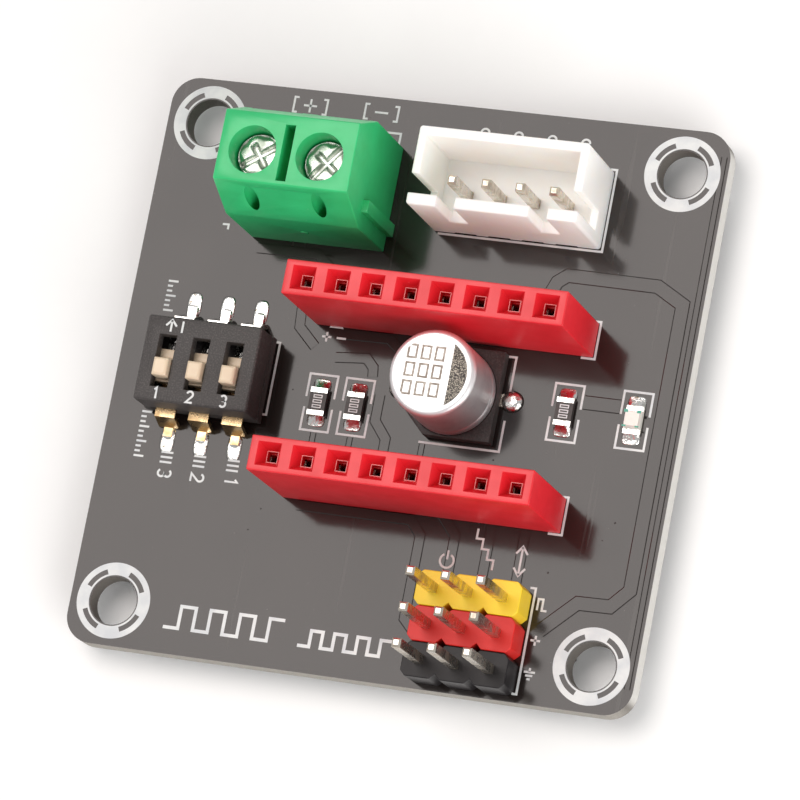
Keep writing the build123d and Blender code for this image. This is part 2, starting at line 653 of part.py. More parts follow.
def make_lamp_chip():
    """The light-giving chip on the lamp's little board."""
    x, y = LAMP_PLACE
    chip_width, chip_length, chip_height = LAMP_CHIP
    low = TOP + LAMP_BOARD
    return block(about(x, chip_width), about(y, chip_length), (low, low + chip_height))


save("board", [make_board()])
save("solder_joints_underside", make_solder())

for name, y in zip(("upper", "lower"), socket_ys):
    save(f"socket_{name}_housing", [make_socket_housing(y)])
    save(f"socket_{name}_contacts", [make_socket_contact(x, y) for x in socket_xs])

for name, y in zip(("yellow", "red", "black"), strip_ys):
    save(f"header_{name}_strip", [make_strip(y)])
    tip = TOP + STRIP_HEIGHT + PIN_ABOVE_STRIP
    save(f"header_{name}_pins", [square_pin(x, y, -TAIL_BELOW, tip) for x in strip_xs])

save("motor_plug_shroud", [make_motor_shroud()])
for number, x in enumerate(motor_xs, 1):
    save(f"motor_plug_pin_{number}", [square_pin(x, motor_pin_y, -TAIL_BELOW, TOP + MOTOR_PIN_REACH)])

save("terminal_housing", [make_terminal_housing()])
for name, x in zip(("left", "right"), pole_xs):
    save(f"terminal_screw_{name}", [make_terminal_screw(x)])
    save(f"terminal_cage_{name}", [make_terminal_cage(x)])
    save(f"terminal_contact_{name}", [make_terminal_contact(x)])

save("switch_cover", [make_switch_cover()])
save("switch_base", [make_switch_base()])
save("switch_leads_front", [make_switch_lead(x, -1, FRONT_LEAD_INNER) for x in switch_xs])
save("switch_leads_back", [make_switch_lead(x, 1, BACK_LEAD_INNER) for x in switch_xs])
for number, x in enumerate(switch_xs, 1):
    save(f"switch_slider_{number}", [make_slider(x)])
    save(f"switch_wiper_{number}", [make_wiper(x)])

save("capacitor_can", [make_cap_can()])
save("capacitor_base", [make_cap_base()])
save("capacitor_seal", [make_cap_seal()])
save("capacitor_winding", [make_cap_winding()])
save("capacitor_lead_plus", [make_cap_lead(-1)])
save("capacitor_lead_minus", [make_cap_lead(1)])

for number, place in enumerate(RESISTOR_PLACES, 1):
    save(f"resistor_{number}_body", [chip_core(place, TOP, TOP + RESISTOR_HEIGHT)])
    save(f"resistor_{number}_ends", chip_ends(place, RESISTOR_HEIGHT))

save("lamp_base", [chip_core(LAMP_PLACE, TOP, TOP + LAMP_BOARD)])
save("lamp_terminals", chip_ends(LAMP_PLACE, LAMP_BOARD))
save("lamp_lens", [make_lamp_lens()])
save("lamp_chip", [make_lamp_chip()])
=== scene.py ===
import fnmatch
import math

import bmesh
import bpy
import numpy as np
from mathutils import Matrix, Vector


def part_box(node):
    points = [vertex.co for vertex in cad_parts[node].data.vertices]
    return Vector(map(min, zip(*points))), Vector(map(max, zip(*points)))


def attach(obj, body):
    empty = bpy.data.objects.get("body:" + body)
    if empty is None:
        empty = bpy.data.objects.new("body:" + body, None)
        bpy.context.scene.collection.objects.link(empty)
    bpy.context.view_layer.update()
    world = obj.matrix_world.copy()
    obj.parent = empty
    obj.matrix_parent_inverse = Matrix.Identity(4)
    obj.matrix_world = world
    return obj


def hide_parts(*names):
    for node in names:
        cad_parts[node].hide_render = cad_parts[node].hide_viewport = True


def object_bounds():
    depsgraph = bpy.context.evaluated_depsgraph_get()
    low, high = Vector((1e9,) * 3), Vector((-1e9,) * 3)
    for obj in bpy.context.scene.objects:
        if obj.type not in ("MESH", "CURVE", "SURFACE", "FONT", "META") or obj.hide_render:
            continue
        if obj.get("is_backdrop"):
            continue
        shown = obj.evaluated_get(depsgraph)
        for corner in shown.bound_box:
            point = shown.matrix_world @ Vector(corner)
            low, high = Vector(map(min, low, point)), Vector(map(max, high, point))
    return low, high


# Looks of a carrier board for a plug-in stepper driver. Everything is in metres, in the frame of the
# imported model: origin between the four mounting holes on the underside, +Z the component side. Paths
# of print and copper are drawn in millimetres and brought to metres when their ribbons are made.

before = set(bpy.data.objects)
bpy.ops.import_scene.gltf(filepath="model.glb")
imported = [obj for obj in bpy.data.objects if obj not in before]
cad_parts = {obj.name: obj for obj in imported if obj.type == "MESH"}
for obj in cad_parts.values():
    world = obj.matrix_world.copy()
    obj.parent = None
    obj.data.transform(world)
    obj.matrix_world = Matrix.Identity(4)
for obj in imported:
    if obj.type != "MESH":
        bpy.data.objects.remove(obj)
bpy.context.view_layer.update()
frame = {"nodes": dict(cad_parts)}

MM = 0.001
BOARD_BODY = "board_assembly"
INK = 0.024 * MM  # how far print stands above its surface
SUNK = 0.006 * MM  # how far its foot reaches below
PITCH = 2.54  # between the ways of sockets, switch and pins, in millimetres
PLUG_PITCH = 2.5  # between the ways of the motor plug, in millimetres
HOLE_OFFSET = 17.75  # from the middle to a mounting hole along x and y, in millimetres
FINE, BOLD = 0.15, 0.24  # widths of printed strokes, in millimetres
MASK, MASK_PALE, MASK_DARK = (0.014, 0.0095, 0.0085), (0.017, 0.012, 0.0105), (0.012, 0.008, 0.007)
CHIPS = ("resistor_1_body", "resistor_2_body", "resistor_3_body", "lamp_base")


def corners(node):
    """The (low, high) corners of a node as two arrays."""
    low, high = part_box(node)
    return np.array(low), np.array(high)


def corners_mm(node):
    """The same corners in millimetres."""
    low, high = corners(node)
    return low / MM, high / MM


def middle(node):
    """The centre of a node's box."""
    low, high = corners(node)
    return (low + high) / 2


board_low, board_high = corners("board")
TOP = board_high[2]
HALF = board_high[0]


# ---------- shader writing

class Wire:
    """One shader socket. Plus, minus and times between wires and numbers add Math nodes."""

    def __init__(self, finish, socket):
        self.finish = finish
        self.socket = socket

    def _maths(self, operation, first, second):
        return self.finish.node("ShaderNodeMath", {"operation": operation}, {0: first, 1: second})

    def __add__(self, other):
        return self._maths("ADD", self, other)

    __radd__ = __add__

    def __sub__(self, other):
        return self._maths("SUBTRACT", self, other)

    def __rsub__(self, other):
        return self._maths("SUBTRACT", other, self)

    def __mul__(self, other):
        return self._maths("MULTIPLY", self, other)

    __rmul__ = __mul__


class Finish:
    """One procedural material: a Principled shader with constants set straight on its sockets."""

    def __init__(self, name, colour, roughness, **constants):
        self.material = bpy.data.materials.new(name)
        self.material.use_nodes = True
        self.tree = self.material.node_tree
        self.shader = self.tree.nodes["Principled BSDF"]
        self.shader.inputs["Base Color"].default_value = (*colour, 1)
        self.shader.inputs["Roughness"].default_value = roughness
        for word, value in constants.items():
            self.shader.inputs[word.replace("_", " ")].default_value = value

    def glow(self, weight, radius, reach):
        """Light that enters, spreads by radius for each colour times reach millimetres and leaves."""
        for word, value in (("Weight", weight), ("Radius", radius), ("Scale", reach * MM)):
            self.shader.inputs["Subsurface " + word].default_value = value

    def node(self, kind, settings=None, inputs=None, output=0):
        """Adds a node: its settings first, then the values or wires of its sockets."""
        made = self.tree.nodes.new(kind)
        for word, value in (settings or {}).items():
            setattr(made, word, value)
        for key, value in (inputs or {}).items():
            if isinstance(value, Wire):
                self.tree.links.new(value.socket, made.inputs[key])
            else:
                made.inputs[key].default_value = value
        return Wire(self, made.outputs[output])

    def done(self, colour, roughness=None, normal=None):
        """Links what varies over the surface to the Principled shader, and gives the material."""
        for socket, wire in (("Base Color", colour), ("Roughness", roughness), ("Normal", normal)):
            if wire is not None:
                self.tree.links.new(wire.socket, self.shader.inputs[socket])
        return self.material

    def place(self, axis=None):
        """Object coordinates, or one of them."""
        whole = self.node("ShaderNodeTexCoord", output="Object")
        if axis is None:
            return whole
        return self.node("ShaderNodeSeparateXYZ", inputs={0: whole}, output="XYZ".index(axis))

    def stretched(self, x=1.0, y=1.0, z=1.0):
        """Object coordinates scaled by axis, for grain that runs one way."""
        return self.node("ShaderNodeMapping", inputs={"Vector": self.place(), "Scale": (x, y, z)})

    def noise(self, size, detail=3.0, vector=None):
        """Noise from 0 to 1 whose blobs are about size millimetres across."""
        inputs = {"Vector": vector or self.place(), "Scale": 1 / (size * MM), "Detail": detail}
        return self.node("ShaderNodeTexNoise", inputs=inputs)

    def cells(self, size, vector=None):
        """Distance to the nearest of points scattered about size millimetres apart."""
        inputs = {"Vector": vector or self.place(), "Scale": 1 / (size * MM)}
        return self.node("ShaderNodeTexVoronoi", inputs=inputs, output="Distance")

    def ease(self, wire, start, end, low=0.0, high=1.0):
        """A soft step from low to high as the wire goes from start to end."""
        inputs = {"Value": wire, "From Min": start, "From Max": end, "To Min": low, "To Max": high}
        return self.node("ShaderNodeMapRange", {"interpolation_type": "SMOOTHSTEP"}, inputs)

    def mix(self, share, first, second):
        """A colour between two colours."""
        first = first if isinstance(first, Wire) else (*first, 1)
        second = second if isinstance(second, Wire) else (*second, 1)
        return self.node("ShaderNodeMix", {"data_type": "RGBA"}, {0: share, 6: first, 7: second}, 2)

    def bump(self, height, depth, under=None):
        """Relief of depth millimetres from a height wire."""
        inputs = {"Height": height, "Distance": depth * MM, "Strength": 1.0}
        if under is not None:
            inputs["Normal"] = under
        return self.node("ShaderNodeBump", inputs=inputs)


# ---------- finishes

def board_lacquer():
    """Gloss black solder mask above and below, bare laminate round the cut edges and in the holes."""
    f = Finish("board_lacquer", MASK, 0.12, IOR=1.5)
    z = f.place("Z")
    inner, outer = 0.035 * MM, 0.02 * MM
    skin = f.ease(z, outer, inner) * f.ease(z, TOP - inner, TOP - outer, 1.0, 0.0)
    dust = f.ease(f.cells(0.9), 0.045, 0.02) * f.ease(f.noise(2.6), 0.46, 0.6)
    pit_cells = f.cells(1.3, f.stretched(1.1, 0.93, 1.0))
    pits = f.ease(pit_cells, 0.06, 0.03) * f.ease(f.noise(3.4), 0.5, 0.6)
    hairline = f.ease(f.noise(0.6, 1.0, f.stretched(1.0, 0.03, 1.0)), 0.7, 0.76)
    smear = f.noise(7.0, 4.0)
    streak = f.noise(0.5, 2.0, f.stretched(1.0, 0.04, 1.0))
    lacquer = f.mix(f.ease(smear, 0.35, 0.7), MASK_PALE, MASK_DARK)
    lacquer = f.mix(dust * 0.4 + hairline * 0.03, lacquer, (0.4, 0.38, 0.36))
    fibre = f.noise(0.16, 2.0, f.stretched(1.0, 1.0, 5.0))
    laminate = f.mix(fibre, (0.16, 0.145, 0.13), (0.5, 0.47, 0.42))
    # The laminate is painted paler towards the right edge.
    out_right = f.ease(f.place("X"), HALF - 0.4 * MM, HALF - 0.02 * MM)
    laminate = f.mix(out_right * 0.6, laminate, (0.86, 0.85, 0.82))
    # Away from the front and right edges, which takes in the walls of the holes, the laminate is
    # darkened: painted shade in the holes.
    bore = f.ease(f.place("Y"), -HALF + 0.1 * MM, -HALF + 1.2 * MM) * (1 - out_right)
    laminate = f.mix(bore * 0.62, laminate, (0.045, 0.035, 0.03))
    colour = f.mix(skin, lacquer, laminate)
    gloss = 0.05 + 0.1 * smear + 0.03 * streak + dust * 0.3 + pits * 0.4
    roughness = gloss * (1 - skin) + skin * 0.75
    ripple = f.noise(1.6, 3.0) * 0.6 + f.noise(0.25, 2.0) * 0.12 + streak * 0.07
    ripple = ripple - pits * 1.5 + hairline * 0.3
    relief = f.bump(ripple * (1 - skin), 0.005)
    return f.done(colour, roughness, f.bump(fibre * skin, 0.04, relief))


def traces_lacquer():
    """The same mask where it lies over raised copper."""
    f = Finish("traces_lacquer", MASK, 0.12, IOR=1.5)
    smear = f.noise(7.0, 4.0)
    colour = f.mix(f.ease(smear, 0.35, 0.7), MASK_PALE, MASK_DARK)
    roughness = 0.08 + 0.07 * smear
    return f.done(colour, roughness, f.bump(f.noise(1.2, 3.0), 0.003))


def screen_ink():
    """White screen ink: slightly blue, thin in places, with pinholes and a worn grain."""
    f = Finish("screen_ink", (0.72, 0.74, 0.77), 0.42)
    worn = f.noise(1.3, 4.0)
    pinholes = f.ease(f.cells(0.32), 0.06, 0.03) * f.ease(worn, 0.52, 0.6)
    ink = f.mix(f.ease(worn, 0.3, 0.75), (0.74, 0.75, 0.74), (0.6, 0.62, 0.64))
    colour = f.mix(pinholes, ink, (0.1, 0.1, 0.1))
    roughness = 0.34 + 0.2 * worn
    return f.done(colour, roughness, f.bump(f.noise(0.07, 2.0) + worn, 0.004))


def reflowed_tin():
    """Bright solder: mirror-like with soft flow ripples and dull frosted patches."""
    f = Finish("reflowed_tin", (0.8, 0.8, 0.78), 0.14, Metallic=1.0)
    flow = f.noise(0.35, 3.0)
    frost = f.ease(f.noise(0.5, 4.0), 0.48, 0.62)
    flux = f.ease(f.noise(0.3, 3.0), 0.6, 0.7)
    tin = f.mix(frost, (0.86, 0.86, 0.84), (0.6, 0.6, 0.57))
    colour = f.mix(flux, tin, (0.26, 0.22, 0.17))
    roughness = 0.1 + 0.2 * frost + 0.2 * flux
    return f.done(colour, roughness, f.bump(flow + f.noise(0.06, 2.0) * 0.12, 0.06))


def nylon(name, colour, deep, roughness, glow=0.0, gloss=0.5, reach=0.9, **constants):
    """Moulded nylon: cloudy colour, flow lines, a fine moulded grain and a few bright dust specks."""
    f = Finish(name, colour, roughness, IOR=1.53, Specular_IOR_Level=gloss, **constants)
    if glow:
        f.glow(glow, (1.0, 0.75, 0.6), reach)
    cloud = f.noise(2.2, 4.0)
    flow = f.noise(0.7, 3.0, f.stretched(0.25, 1.0, 1.0))
    speck = f.ease(f.cells(0.55), 0.075, 0.035) * f.ease(f.noise(1.1), 0.52, 0.62)
    body = f.mix(f.ease(cloud * 0.7 + flow * 0.3, 0.35, 0.68) * 0.6, colour, deep)
    pale = tuple(min(1.0, 0.5 + part * 0.5) for part in colour)
    shade = f.mix(speck * 0.45, body, pale)
    roughness = roughness + 0.16 * (cloud - 0.5) + speck * 0.1
    fine = f.noise(0.05, 2.0)
    return f.done(shade, roughness, f.bump(fine * 0.5 + flow * 0.5 + speck * 0.8, 0.004))


def blasted_black(name, colour=(0.042, 0.037, 0.036), depth=0.016):
    """Black moulding from a blasted tool: matt, with a coarse sparkling grain."""
    f = Finish(name, colour, 0.55)
    grain = f.noise(0.11, 3.0)
    light = tuple(part * 2.3 for part in colour)
    shade = f.mix(f.ease(grain, 0.42, 0.72), colour, light)
    return f.done(shade, 0.42 + 0.3 * grain, f.bump(grain + f.noise(0.4) * 0.3, depth))


def plated(name, bright, dull, roughness, depth=0.006):
    """Plated sheet metal: drawn lines that run upright, and clouds of tarnish."""
    f = Finish(name, bright, roughness, Metallic=1.0)
    drawn = f.noise(0.05, 2.0, f.stretched(1.0, 1.0, 0.08))
    cloud = f.noise(0.8, 4.0)
    colour = f.mix(f.ease(cloud, 0.38, 0.72), bright, dull)
    roughness = roughness * 0.7 + 0.25 * f.ease(cloud, 0.4, 0.8) + 0.08 * drawn
    return f.done(colour, roughness, f.bump(drawn + cloud * 0.4, depth))


def drawn_can():
    """Satin aluminium: lines drawn up the wall, a fine grain and faint tarnish."""
    f = Finish("drawn_can", (0.88, 0.88, 0.88), 0.42, Metallic=0.85)
    upright = f.noise(0.09, 2.0, f.stretched(1.0, 1.0, 0.05))
    cloud = f.noise(1.6, 4.0)
    colour = f.mix(f.ease(cloud, 0.4, 0.75), (0.89, 0.89, 0.9), (0.74, 0.74, 0.76))
    roughness = 0.34 + 0.14 * cloud + 0.05 * upright
    return f.done(colour, roughness, f.bump(upright + 0.5 * f.noise(0.035, 1.0), 0.004))


def sleeve_print():
    """Dark speckled varnish of the minus segment: bronze flecks in brown-black."""
    f = Finish("sleeve_print", (0.05, 0.045, 0.04), 0.5)
    fleck = f.ease(f.noise(0.085, 2.0), 0.5, 0.58)
    colour = f.mix(fleck, (0.035, 0.03, 0.027), (0.46, 0.42, 0.34))
    roughness = 0.55 - 0.2 * fleck
    return f.done(colour, roughness, f.bump(fleck, 0.006))


def varnish_grey():
    """Thin brown-grey varnish of the printed bars on the can."""
    f = Finish("varnish_grey", (0.3, 0.26, 0.2), 0.5)
    worn = f.noise(0.3, 3.0)
    return f.done(f.mix(f.ease(worn, 0.35, 0.7), (0.24, 0.2, 0.16), (0.5, 0.46, 0.4)), 0.4 + 0.2 * worn)


def glazed_film():
    """Black glass over the resistor film: glossy, with tiny craters."""
    f = Finish("glazed_film", (0.03, 0.025, 0.024), 0.38, Specular_IOR_Level=0.3)
    crater = f.ease(f.cells(0.16), 0.2, 0.05)
    colour = f.mix(f.noise(0.3, 3.0), (0.03, 0.026, 0.025), (0.07, 0.06, 0.058))
    roughness = 0.3 + 0.15 * f.noise(0.2, 2.0)
    return f.done(colour, roughness, f.bump(f.noise(0.12, 2.0) - crater * 0.5, 0.01))


def lamp_epoxy():
    """The lamp's clear block: pink-white and softly glowing, with a milky cloud inside."""
    f = Finish("lamp_epoxy", (0.95, 0.86, 0.8), 0.14, Transmission_Weight=0.1, IOR=1.5)
    f.glow(0.4, (1.0, 0.6, 0.5), 0.4)
    cloud = f.noise(0.3, 3.0)
    colour = f.mix(cloud, (0.97, 0.9, 0.84), (0.92, 0.78, 0.72))
    roughness = 0.1 + 0.12 * cloud
    return f.done(colour, roughness, f.bump(cloud, 0.01))


def teal_lacquer():
    """Green-blue lacquer on the ends of the lamp's little board."""
    f = Finish("teal_lacquer", (0.02, 0.3, 0.2), 0.25)
    cloud = f.noise(0.15, 2.0)
    return f.done(f.mix(cloud, (0.015, 0.22, 0.15), (0.05, 0.42, 0.3)), 0.2 + 0.2 * cloud)


def bench_white():
    """The pale floor: matt, with a barely visible cloud."""
    f = Finish("bench_white", (0.97, 0.97, 0.97), 0.9)
    cloud = f.noise(1.5, 2.0)
    return f.done(f.mix(cloud, (0.98, 0.98, 0.98), (0.96, 0.96, 0.96)))


# ---------- surfaces

def linked(name, data):
    """A new object of the scene."""
    made = bpy.data.objects.new(name, data)
    bpy.context.scene.collection.objects.link(made)
    return made


def meshed(name, points, faces, material, smooth=False):
    """An object made from points and faces."""
    mesh = bpy.data.meshes.new(name)
    mesh.from_pydata(np.asarray(points).tolist(), [], [list(map(int, face)) for face in faces])
    mesh.materials.append(material)
    mesh.polygons.foreach_set("use_smooth", np.full(len(mesh.polygons), smooth))
    mesh.update()
    return linked(name, mesh)


def solid(name, points, faces, material, slot, body=BOARD_BODY, smooth=False):
    """Makes a piece from points and faces, in place, and lets it ride on its body."""
    piece = meshed(name, points, faces, material, smooth)
    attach(piece, body)
    return piece


def joined(parts):
    """Several (points, faces) pairs as one pair."""
    points, faces, count = [], [], 0
    for part_points, part_faces in parts:
        points.append(np.asarray(part_points))
        faces += [np.asarray(face) + count for face in part_faces]
        count += len(part_points)
    return np.concatenate(points), faces


def tiles(plan, low, high, keep=None, around=False):
    """A solid on a grid of plan points, its top at one height or at a height for each point: each kept
    cell is a tile, and a wall closes each free edge."""
    rows, columns = plan.shape[:2]
    number = np.arange(rows * columns).reshape(rows, columns)
    if around:
        number = np.concatenate([number, number[:, :1]], axis=1)
    kept = np.ones((rows - 1, number.shape[1] - 1), bool) if keep is None else keep
    quad = np.stack([number[:-1, :-1], number[1:, :-1], number[1:, 1:], number[:-1, 1:]], axis=-1)
    flat = plan.reshape(-1, 2)
    first = flat[quad.reshape(-1, 4)[0]]
    turn = np.cross(np.append(first[1] - first[0], 0), np.append(first[2] - first[1], 0))[2]
    if turn < 0:
        quad = quad[..., ::-1]
    walls = []
    padded = np.pad(kept, 1)
    if around:
        padded[1:-1, 0] = kept[:, -1]
        padded[1:-1, -1] = kept[:, 0]
    mirror = 1 if turn > 0 else -1
    for side, (down, across) in enumerate(((0, -1), (1, 0), (0, 1), (-1, 0))):
        row, column = 1 + down, 1 + across * mirror
        beyond = padded[row:row + kept.shape[0], column:column + kept.shape[1]]
        edge = quad[kept & ~beyond]
        walls.append(np.stack([edge[:, side], edge[:, (side + 1) % 4]], axis=-1))
    walls = np.concatenate(walls)
    under = rows * columns
    upper = quad[kept]
    near, far = walls[:, 0], walls[:, 1]
    faces = list(upper) + list(upper[:, ::-1] + under)
    faces += list(np.stack([far, near, near + under, far + under], axis=-1))
    tops = np.broadcast_to(high, plan.shape[:2]).ravel()
    points = np.concatenate([np.c_[flat, tops], np.c_[flat, np.full(len(flat), low)]])
    used, inverse = np.unique(np.concatenate(faces), return_inverse=True)
    return points[used], list(inverse.reshape(-1, 4))


def stroke(path, width, low, high, closed=False):
    """A ribbon of even width along a path, with mitred corners: each side is the path moved by half the
    width along the corner's bisector, divided by the cosine of half the turn."""
    path = np.asarray(path, float)
    ahead = np.roll(path, -1, axis=0) - path
    if not closed:
        ahead[-1] = ahead[-2]
    ahead /= np.linalg.norm(ahead, axis=1, keepdims=True)
    behind = np.roll(ahead, 1, axis=0)
    if not closed:
        behind[0] = ahead[0]
    normal_a = np.c_[-ahead[:, 1], ahead[:, 0]]
    normal_b = np.c_[-behind[:, 1], behind[:, 0]]
    bisector = normal_a + normal_b
    bisector /= np.linalg.norm(bisector, axis=1, keepdims=True)
    reach = width / 2 / np.maximum(np.sum(bisector * normal_a, axis=1), 0.5)
    offset = bisector * reach[:, None]
    plan = np.stack([path + offset, path - offset], axis=0)
    return tiles(plan, low, high, around=closed)


def inked(lines, width, level=TOP, closed=False):
    """Ribbons of ink along lines, on a surface at a level in metres."""
    low, high = level - SUNK, level + INK
    return [stroke(np.asarray(line) * MM, width * MM, low, high, closed) for line in lines]


def full_turn(steps):
    """Even angles round a circle, in radians."""
    return np.arange(steps) * 2 * math.pi / steps


def ring(centre, radii, low, high, keep):
    """A flat ring on a polar grid, with windows where keep is false."""
    turn = full_turn(keep.shape[1])
    spokes = np.stack([np.cos(turn), np.sin(turn)], axis=-1)
    return tiles(np.asarray(centre) + radii[:, None, None] * spokes, low, high, keep, around=True)


def capped(grid, first, last):
    """A surface through rings of points, from the top one down, with a fan to one point at each end."""
    rows, steps = grid.shape[:2]
    points = np.concatenate([grid.reshape(-1, 3), [first, last]])
    number = np.arange(rows * steps).reshape(rows, steps)
    after = np.roll(number, -1, axis=1)
    quads = np.stack([number[:-1], number[1:], after[1:], after[:-1]], axis=-1).reshape(-1, 4)
    fans = [(rows * steps, a, b) for a, b in zip(number[0], after[0])]
    fans += [(rows * steps + 1, b, a) for a, b in zip(number[-1], after[-1])]
    return points, list(quads) + fans


def turned(profile, centre, steps, shape=None):
    """A surface of revolution: every (radius, height) of the profile is carried round the upright axis
    through centre. The first and last points lie on the axis. Shape may move the points first."""
    profile = np.asarray(profile, float)
    turn = full_turn(steps)
    radius, height = profile[1:-1, 0][:, None], profile[1:-1, 1][:, None]
    grid = np.stack([radius * np.cos(turn), radius * np.sin(turn), height + 0 * turn], axis=-1)
    ends = np.array([[[0, 0, profile[0, 1]]], [[0, 0, profile[-1, 1]]]])
    if shape is not None:
        grid, ends = shape(grid), shape(ends)
    axis = np.array([centre[0], centre[1], 0])
    return capped(grid + axis, *(ends[:, 0] + axis))


def mound(centre, half_x, half_y, base, height, square, lift=(1.0, 1.0)):
    """A blob of solder over a rounded pad: at share s of the way out along a superellipse of the given
    squareness the height is that of a dome, (1 - s^3)^0.6, times the lift, which goes evenly from its
    second value at -y to its first at +y."""
    steps, rings = 28, 7
    turn = full_turn(steps)
    cosine, sine = np.cos(turn), np.sin(turn)
    reach = (np.abs(cosine) ** square + np.abs(sine) ** square) ** (-1 / square)
    share = np.linspace(1, 0, rings, endpoint=False)[::-1, None]
    x = half_x * share * reach * cosine
    y = half_y * share * reach * sine
    dome = (1 - share**3) ** 0.6
    up_high, up_low = lift
    lean = up_low + (up_high - up_low) * (y / half_y + 1) / 2
    z = base + height * dome * lean
    top = base + height * (up_low + up_high) / 2
    grid = np.stack([centre[0] + x, centre[1] + y, z + 0 * x], axis=-1)
    return capped(grid, [*centre, top], [*centre, base])


def rounded(piece, width):
    """Rounds the sharp edges of a piece by width millimetres."""
    rounding = piece.modifiers.new("rounded edges", "BEVEL")
    rounding.width = width * MM
    rounding.segments = 3
    rounding.limit_method = "ANGLE"
    rounding.angle_limit = math.radians(28)
    rounding.harden_normals = True


def moulding(node, material, width, body=BOARD_BODY, slide=None):
    """A CAD node's own shape with its edges rounded: a welded copy under a Bevel, in the node's place.
    Slide is (level, step): the points that lie at that level in y move by the step in y."""
    mesh = frame["nodes"][node].data.copy()
    bm = bmesh.new()
    bm.from_mesh(mesh)
    bmesh.ops.remove_doubles(bm, verts=bm.verts, dist=0.002 * MM)
    bmesh.ops.dissolve_limit(bm, angle_limit=math.radians(1), verts=bm.verts, edges=bm.edges)
    bm.to_mesh(mesh)
    bm.free()
    if slide is not None:
        level, step = slide
        near = 0.02 * MM
        points = np.empty(3 * len(mesh.vertices))
        mesh.vertices.foreach_get("co", points)
        points = points.reshape(-1, 3)
        points[np.abs(points[:, 1] - level) < near, 1] += step
        mesh.vertices.foreach_set("co", points.ravel())
    mesh.materials.clear()
    mesh.materials.append(material)
    mesh.polygons.foreach_set("use_smooth", np.full(len(mesh.polygons), True))
    piece = linked(node + "_moulding", mesh)
    rounded(piece, width)
    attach(piece, body)
    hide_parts(node)


def pin_strip(colour, material):
    """A strip for three pins: a bar whose long sides step in at each border between ways, and at both
    ends, by (notch - distance to the nearest border) wherever that is more than nothing."""
    node = f"header_{colour}_strip"
    low, high = corners(node)
    notch = 0.38 * MM
    borders = np.linspace(low[0], high[0], 4)
    stations = np.concatenate([borders - notch, borders, borders + notch])
    stations = np.unique(np.clip(stations, low[0], high[0]).round(8))
    away = np.abs(stations[:, None] - borders).min(axis=1)
    inset = np.maximum(notch - away, 0)
    plan = np.stack([np.c_[stations, low[1] + inset], np.c_[stations, high[1] - inset]])
    points, faces = tiles(plan, low[2], high[2])
    piece = solid(node + "_moulding", points, faces, material, f"strip_{colour}", smooth=True)
    rounded(piece, 0.07)
    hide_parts(node)


def flipped(points, faces):
    """The same shape under the board: heights become thickness - height, and faces turn over."""
    return np.asarray(points) * (1, 1, -1) + (0, 0, TOP), [face[::-1] for face in faces]


# ---------- the board's print

def hole_rings():
    """A broad printed ring round each mounting hole, above and below, with four curved windows: the
    middle band is open where the angle from the nearest diagonal is within half a window."""
    radii = np.array([1.84, 1.97, 2.34, 2.75]) * MM
    steps, half_window = 96, 23
    turn = np.degrees(full_turn(steps)) + 180 / steps
    from_diagonal = (turn - 45) % 90
    from_diagonal = np.minimum(from_diagonal, 90 - from_diagonal)
    keep = np.ones((3, steps), bool)
    keep[1] = from_diagonal > half_window
    places = (-HOLE_OFFSET * MM, HOLE_OFFSET * MM)
    parts = [ring((x, y), radii, TOP - SUNK, TOP + INK, keep) for x in places for y in places]
    points, faces = joined(parts)
    solid("print_hole_rings_underside", *flipped(points, faces), INK_WHITE, "board_mask")
    solid("print_hole_rings", points, faces, INK_WHITE, "board_mask")


def bracket(node):
    """The outline beside a chip: two half frames with a gap in each long side."""
    margin_x, margin_y, gap = 0.42, 1.1, 0.75
    low, high = corners_mm(node)
    left, right = low[0] - margin_x, high[0] + margin_x
    front, back = low[1] - margin_y, high[1] + margin_y
    centre = (front + back) / 2
    ends = ((front, centre - gap / 2), (back, centre + gap / 2))
    return [[(left, near), (left, far), (right, far), (right, near)] for far, near in ends]


def hook(edge, back, front, back_tab, front_tab):
    """The outline on the right of a part: along an edge, with a tab to the left at both ends."""
    return [(edge - back_tab, back), (edge, back), (edge, front), (edge - front_tab, front)]


def outlines():
    """Printed outlines round the chips, and beside the switch, capacitor, sockets, pins, plug and
    terminal."""
    lines = []
    for node in CHIPS:
        lines += bracket(node)
    low, high = corners_mm("switch_base")
    lines.append(hook(high[0] + 0.1, high[1] - 0.1, low[1] + 0.8, 0.4, 0.4))
    low, high = corners_mm("capacitor_base")
    right, back, front = high[0] + 0.55, high[1] - 0.1, low[1] - 0.35
    lines.append([(right - 0.9, back), (right, back), (right, 0.75)])
    lines.append([(right, -1.35), (right, front), (low[0] + 1.2, front)])
    for node in ("socket_upper_housing", "socket_lower_housing"):
        low, high = corners_mm(node)
        lines.append(hook(high[0] + 0.12, high[1] + 0.1, low[1] - 0.1, 1.0, 1.0))
    low, high = corners_mm("header_black_strip")[0], corners_mm("header_yellow_strip")[1]
    lines.append(hook(high[0] + 0.2, high[1] + 0.15, low[1] + 0.2, 0.4, 0.35))
    low, high = corners_mm("motor_plug_shroud")
    gap = 0.13
    right, back, front = high[0] + gap, high[1] + gap, low[1] - gap
    lines.append([(low[0] + 0.4, front), (right, front), (right, back), (high[0] - 0.7, back)])
    high = corners_mm("terminal_housing")[1]
    right, back = high[0] - 0.85, high[1] + 1.0
    lines.append([(high[0] - 2.0, back), (right, back), (right, high[1] - 1.0)])
    solid("print_outlines", *joined(inked(lines, 0.16)), INK_WHITE, "board_mask")


def arc(centre, radius, start, end, steps=14):
    """Points of an arc, angles in degrees."""
    turn = np.radians(np.linspace(start, end, steps))
    return np.c_[centre[0] + radius * np.cos(turn), centre[1] + radius * np.sin(turn)]


